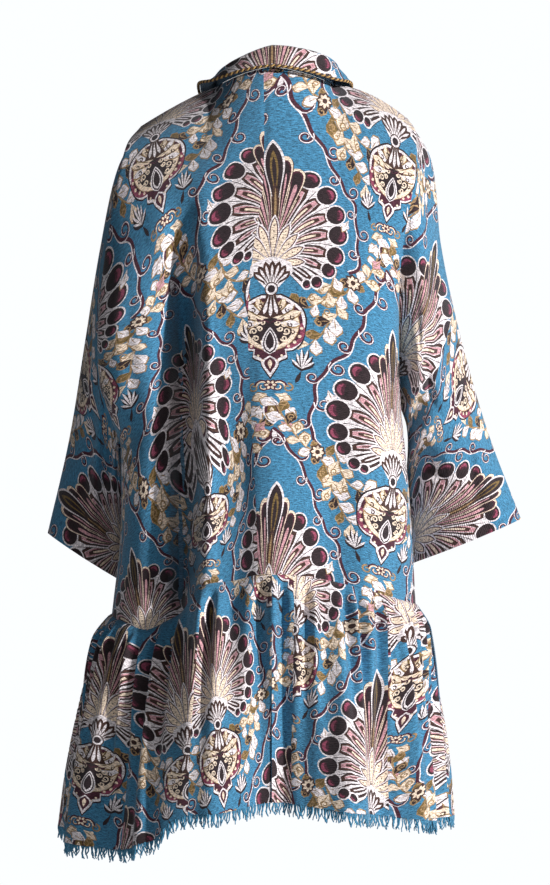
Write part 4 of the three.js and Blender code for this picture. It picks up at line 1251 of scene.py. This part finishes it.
def collar_sections(side, c):
    """The collar's section at every c: up the stand, over the roll and down the fall to its edge."""
    seam, (up, out, edge_up, edge_out, forward) = neck_seam(side, c), table(COLLAR, c)[:, :5].T
    up = up - SIDES[side]["sign"] * COLLAR_TILT * np.sin(np.pi * c)
    away = np.stack([seam[:, 0], seam[:, 1] * 0.9, 0 * c], -1)
    away /= np.linalg.norm(away, axis=1, keepdims=True) + 1e-9
    r, over = ROLL_RADIUS, out + 2 * ROLL_RADIUS
    knots = [(0 * c, 0 * c + 0.3), (out * 0.5, up * 0.45), (out, up - r), (out + r * 0.3, up - r * 0.3),
             (out + r, up),
             (out + r * 1.7, up - r * 0.3), (over, up - r), (mix(over, edge_out, 0.55),
                                                             mix(up - r, edge_up, 0.5)),
             (edge_out, edge_up)]
    rows = []
    for go, rise in knots:
        p = seam + away * go[:, None]
        p[:, 1] -= forward * go.clip(0) / 40
        p[:, 2] += rise
        rows.append(p)
    return np.stack(rows, 1)


def collar_chart():
    """The collar's cloth, with a slight wave in the fall and a stitched line inside its edge."""
    c = np.linspace(0, 1, 91)
    sections = np.concatenate([collar_sections("right", c)[:0:-1], collar_sections("left", c)])
    place = read(np.arange(9) / 8, sections.swapaxes(0, 1), np.linspace(0, 1, 65))
    middle = len(c) - 1
    normal = np.cross(np.gradient(place, axis=1), np.gradient(place, axis=0))
    normal /= np.linalg.norm(normal, axis=2, keepdims=True)
    normal *= math.copysign(1, normal[-6, middle, 1])
    down, along = lengths(place, 0), lengths(place, 1)
    from_edge = down[-1:] - down
    x = along[:, middle : middle + 1] - along
    on_fall = smooth(30, 8, from_edge) * smooth(0, 3, from_edge)
    wave = 1.4 * np.sin(x * 0.045 + 1) * np.sin(x * 0.017) * on_fall
    stitched = -0.7 * np.exp(-(((from_edge - 6) / 1.3) ** 2))
    place = place + normal * (wave + stitched)[..., None]
    cloth = np.stack([x, COLLAR_Y - down], -1)
    rows, columns = place.shape[:2]
    return {"place": place, "cloth": cloth, "normal": normal, "face": "back",
            "faces": grid_faces(rows, columns)}


def tubes(name, paths, radii, sides, material):
    """Closed round strands along paths, each with its own radii."""
    points, faces, count = [], [], 0
    for path, radius in zip(paths, radii):
        way = np.gradient(path, axis=0)
        way /= np.linalg.norm(way, axis=1, keepdims=True)
        first = np.cross(way, (0.31, 0.2, 0.93) if abs(way[0, 2]) < 0.8 else (0.9, 0.4, 0.1))
        first /= np.linalg.norm(first, axis=1, keepdims=True)
        second = np.cross(way, first)
        turn = np.arange(sides) * 2 * math.pi / sides
        ring = (path[:, None] + radius[:, None, None] * (np.cos(turn)[None, :, None] * first[:, None]
                                                         + np.sin(turn)[None, :, None] * second[:, None]))
        points.append(ring.reshape(-1, 3))
        for n in range(len(path) - 1):
            for k in range(sides):
                a, b = count + n * sides + k, count + n * sides + (k + 1) % sides
                faces.append((a, b, b + sides, a + sides))
        faces.append(tuple(range(count + sides - 1, count - 1, -1)))
        count += len(path) * sides
        faces.append(tuple(range(count - sides, count)))
    mesh = bpy.data.meshes.new(name)
    mesh.from_pydata((np.vstack(points) * MM).tolist(), [], faces)
    mesh.polygons.foreach_set("use_smooth", [True] * len(faces))
    mesh.materials.append(material)
    piece = bpy.data.objects.new(name, mesh)
    bpy.context.scene.collection.objects.link(piece)
    return piece


def cords():
    """The two twisted plies of the cord along the collar's edge, one gold and one brown."""
    c = np.linspace(0, 1, 41)
    sections = np.concatenate([collar_sections("right", c)[:0:-1], collar_sections("left", c)])
    edge, down = sections[:, -1], sections[:, -1] - sections[:, -2]
    down /= np.linalg.norm(down, axis=1, keepdims=True)
    line = bend(edge + down * 2.4, 1.0)
    way = np.gradient(line, axis=0)
    way /= np.linalg.norm(way, axis=1, keepdims=True)
    across = np.cross(way, (0, 0, 1.0))
    across /= np.linalg.norm(across, axis=1, keepdims=True)
    up = np.cross(across, way)
    far = np.concatenate([[0], np.cumsum(np.linalg.norm(np.diff(line, axis=0), axis=1))])
    pieces = []
    for name, phase, material in (("cord_gold", 0, GOLD_YARN), ("cord_brown", math.pi, BROWN_YARN)):
        turn = (far / 8 * 2 * math.pi + phase)[:, None]
        path = line + 1.05 * (np.cos(turn) * across + np.sin(turn) * up)
        pieces.append(tubes(name, [path], [np.full(len(path), 1.2)], 7, material))
    return pieces


def fringe(name, parts, seed):
    """Curly chenille strands, each frayed a little to its own side, along the flounce's hem."""
    rng = np.random.default_rng(seed)
    paths, radii = [], []
    for side, face in parts:
        u = np.linspace(0.004, 0.998, 1200)
        hem = flounce_surface(side, face, u, np.array([0.992, 1.0]))
        out = grid_normals(hem, looks_out(side, face))[1]
        far = np.concatenate([[0], np.cumsum(np.linalg.norm(np.diff(hem[1], axis=0), axis=1))])
        for at in np.arange(1.2, far[-1] - 1, 2.2):
            n = int(np.searchsorted(far, at))
            root = hem[1, n] - out[n] * (1.3 + rng.uniform(-0.5, 0.5)) + (0, 0, 1.0)
            along = hem[1, min(n + 1, len(u) - 1)] - hem[1, n - 1]
            along /= np.linalg.norm(along)
            long, lean, curl_at = rng.uniform(12, 19.5), rng.uniform(-0.3, 0.3), rng.uniform(0, 6.28)
            s = np.linspace(0, 1, 6)[:, None]
            wave = 1.5 * np.sin(s * 7 + curl_at) * s
            sway = 1.3 * np.cos(s * 6 + curl_at) * s
            path = root + along * (lean * long * s + wave) + out[n] * sway + np.array([0, 0, -long]) * s
            paths.append(path)
            radii.append(mix(1.25, 0.75, s[:, 0]) * rng.uniform(0.8, 1.2))
    return tubes(name, paths, radii, 4, FRINGE_YARN)


def dress(piece, slot, *nodes):
    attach(piece, "root")
    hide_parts(*nodes)


EASE = 1.1  # the cut's area over the area that the worn form shows, for cloth taken up in small folds


def flat_size(parts):
    """Width, length and area of the cut, in metres."""
    low = np.min([p["cloth"].min(0) for p in parts], 0)
    high = np.max([p["cloth"].max(0) for p in parts], 0)
    area = 0
    for p in parts:
        f = p["faces"][p["zone"] >= 0]
        a, b, c = (p["place"][f[:, k]] for k in range(3))
        area += np.linalg.norm(np.cross(b - a, c - a), axis=1).sum() / 2
    return (high - low) * MM, area * EASE * MM * MM


def cloth_piece(name, charts, node_name, material):
    parts = [tailor(c) for c in charts]
    piece = make_mesh(name, parts, material)
    dress(piece, "cloth", node_name)
    size, area = flat_size(parts)
    return piece, size, area


TILE = tile_lines()
CHENILLE = chenille()
FRINGE_YARN = yarn("chenille_yarn", (38, 98, 132), (78, 150, 186), 900)
GOLD_YARN = yarn("gold_cord", (150, 112, 62), (206, 170, 108), 1500, 0.6, 0.1)
BROWN_YARN = yarn("brown_cord", (46, 32, 26), (84, 60, 42), 1500, 0.7, 0.1)
for side in SIDES:
    for face in FACES:
        body = body_chart(side, face)
        sleeves = sleeve_charts(side, face, body)
        share_normals(body, sleeves[0])
        name = f"{face}_{side}"
        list(cloth_piece("cloth_" + name, [body] + sleeves, name, CHENILLE))

BACK_FLOUNCE = flounce_charts("right", "back") + flounce_charts("left", "back")
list(cloth_piece("cloth_flounce_back", BACK_FLOUNCE, "flounce_back", CHENILLE))
for side in SIDES:
    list(cloth_piece("cloth_flounce_front_" + side, flounce_charts(side, "front"),
                              "flounce_front_" + side, CHENILLE))

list(cloth_piece("cloth_collar", [collar_chart()], "collar", CHENILLE))

for piece in cords():
    dress(piece, "cord", "collar_cord")
dress(fringe("fringe_strands_back", [("right", "back"), ("left", "back")], 11), "fringe", "fringe_back")
for seed, side in enumerate(SIDES):
    dress(fringe("fringe_strands_front_" + side, [(side, "front")], 21 + seed), "fringe",
          "fringe_front_" + side)

# Floor, light and camera
def flat_material(name, colour):
    material, _, shader = new_material(name, 0.9, 0)
    shader.inputs["Base Color"].default_value = (*colour, 1)
    return material


floor_mesh = bpy.data.meshes.new("floor")
floor_mesh.from_pydata([(-2.7, -2.7, -1.5), (2.7, -2.7, -1.5), (2.7, 2.7, -1.5), (-2.7, 2.7, -1.5)], [],
                       [(0, 1, 2, 3)])
floor = bpy.data.objects.new("floor", floor_mesh)
floor_mesh.materials.append(flat_material("pale_floor", (0.86, 0.87, 0.88)))
bpy.context.scene.collection.objects.link(floor)


def area_light(name, place, aim, power, size, colour=(1, 1, 1)):
    light = bpy.data.lights.new(name, "AREA")
    light.energy, light.size, light.color = power, size, colour
    lamp = bpy.data.objects.new(name, light)
    lamp.location = place
    lamp.rotation_euler = (Vector(aim) - Vector(place)).to_track_quat("-Z", "Y").to_euler()
    bpy.context.scene.collection.objects.link(lamp)


area_light("key", (-2.9, 2.3, 0.8), (0, 0, -0.4), 225, 0.22, (1, 0.985, 0.965))
area_light("fill", (0.3, 3.8, 0.3), (0, 0, -0.5), 7, 1.2, (0.92, 0.96, 1))
world = bpy.data.worlds.new("studio")
bpy.context.scene.world = world
world.use_nodes = True
sky = world.node_tree.nodes["Background"]
sky.inputs["Color"].default_value = (0.96, 0.98, 1, 1)
seen = world.node_tree.nodes.new("ShaderNodeLightPath")
level = world.node_tree.nodes.new("ShaderNodeMapRange")  # white to the eye, and a soft fill to the cloth
level.inputs["To Min"].default_value, level.inputs["To Max"].default_value = 0.1, 1.02
world.node_tree.links.new(seen.outputs["Is Camera Ray"], level.inputs["Value"])
world.node_tree.links.new(level.outputs["Result"], sky.inputs["Strength"])
bpy.context.scene.view_settings.view_transform = "Standard"

camera_data = bpy.data.cameras.new("camera")
camera_data.sensor_fit = "HORIZONTAL"
camera_data.sensor_width = 36
camera_data.lens = 36 * 3136 / 550
camera = bpy.data.objects.new("camera", camera_data)
camera.location = (-0.004, 4.2, -0.465)
camera.rotation_euler = (math.radians(90), 0, math.radians(180))
bpy.context.scene.collection.objects.link(camera)
bpy.context.scene.camera = camera
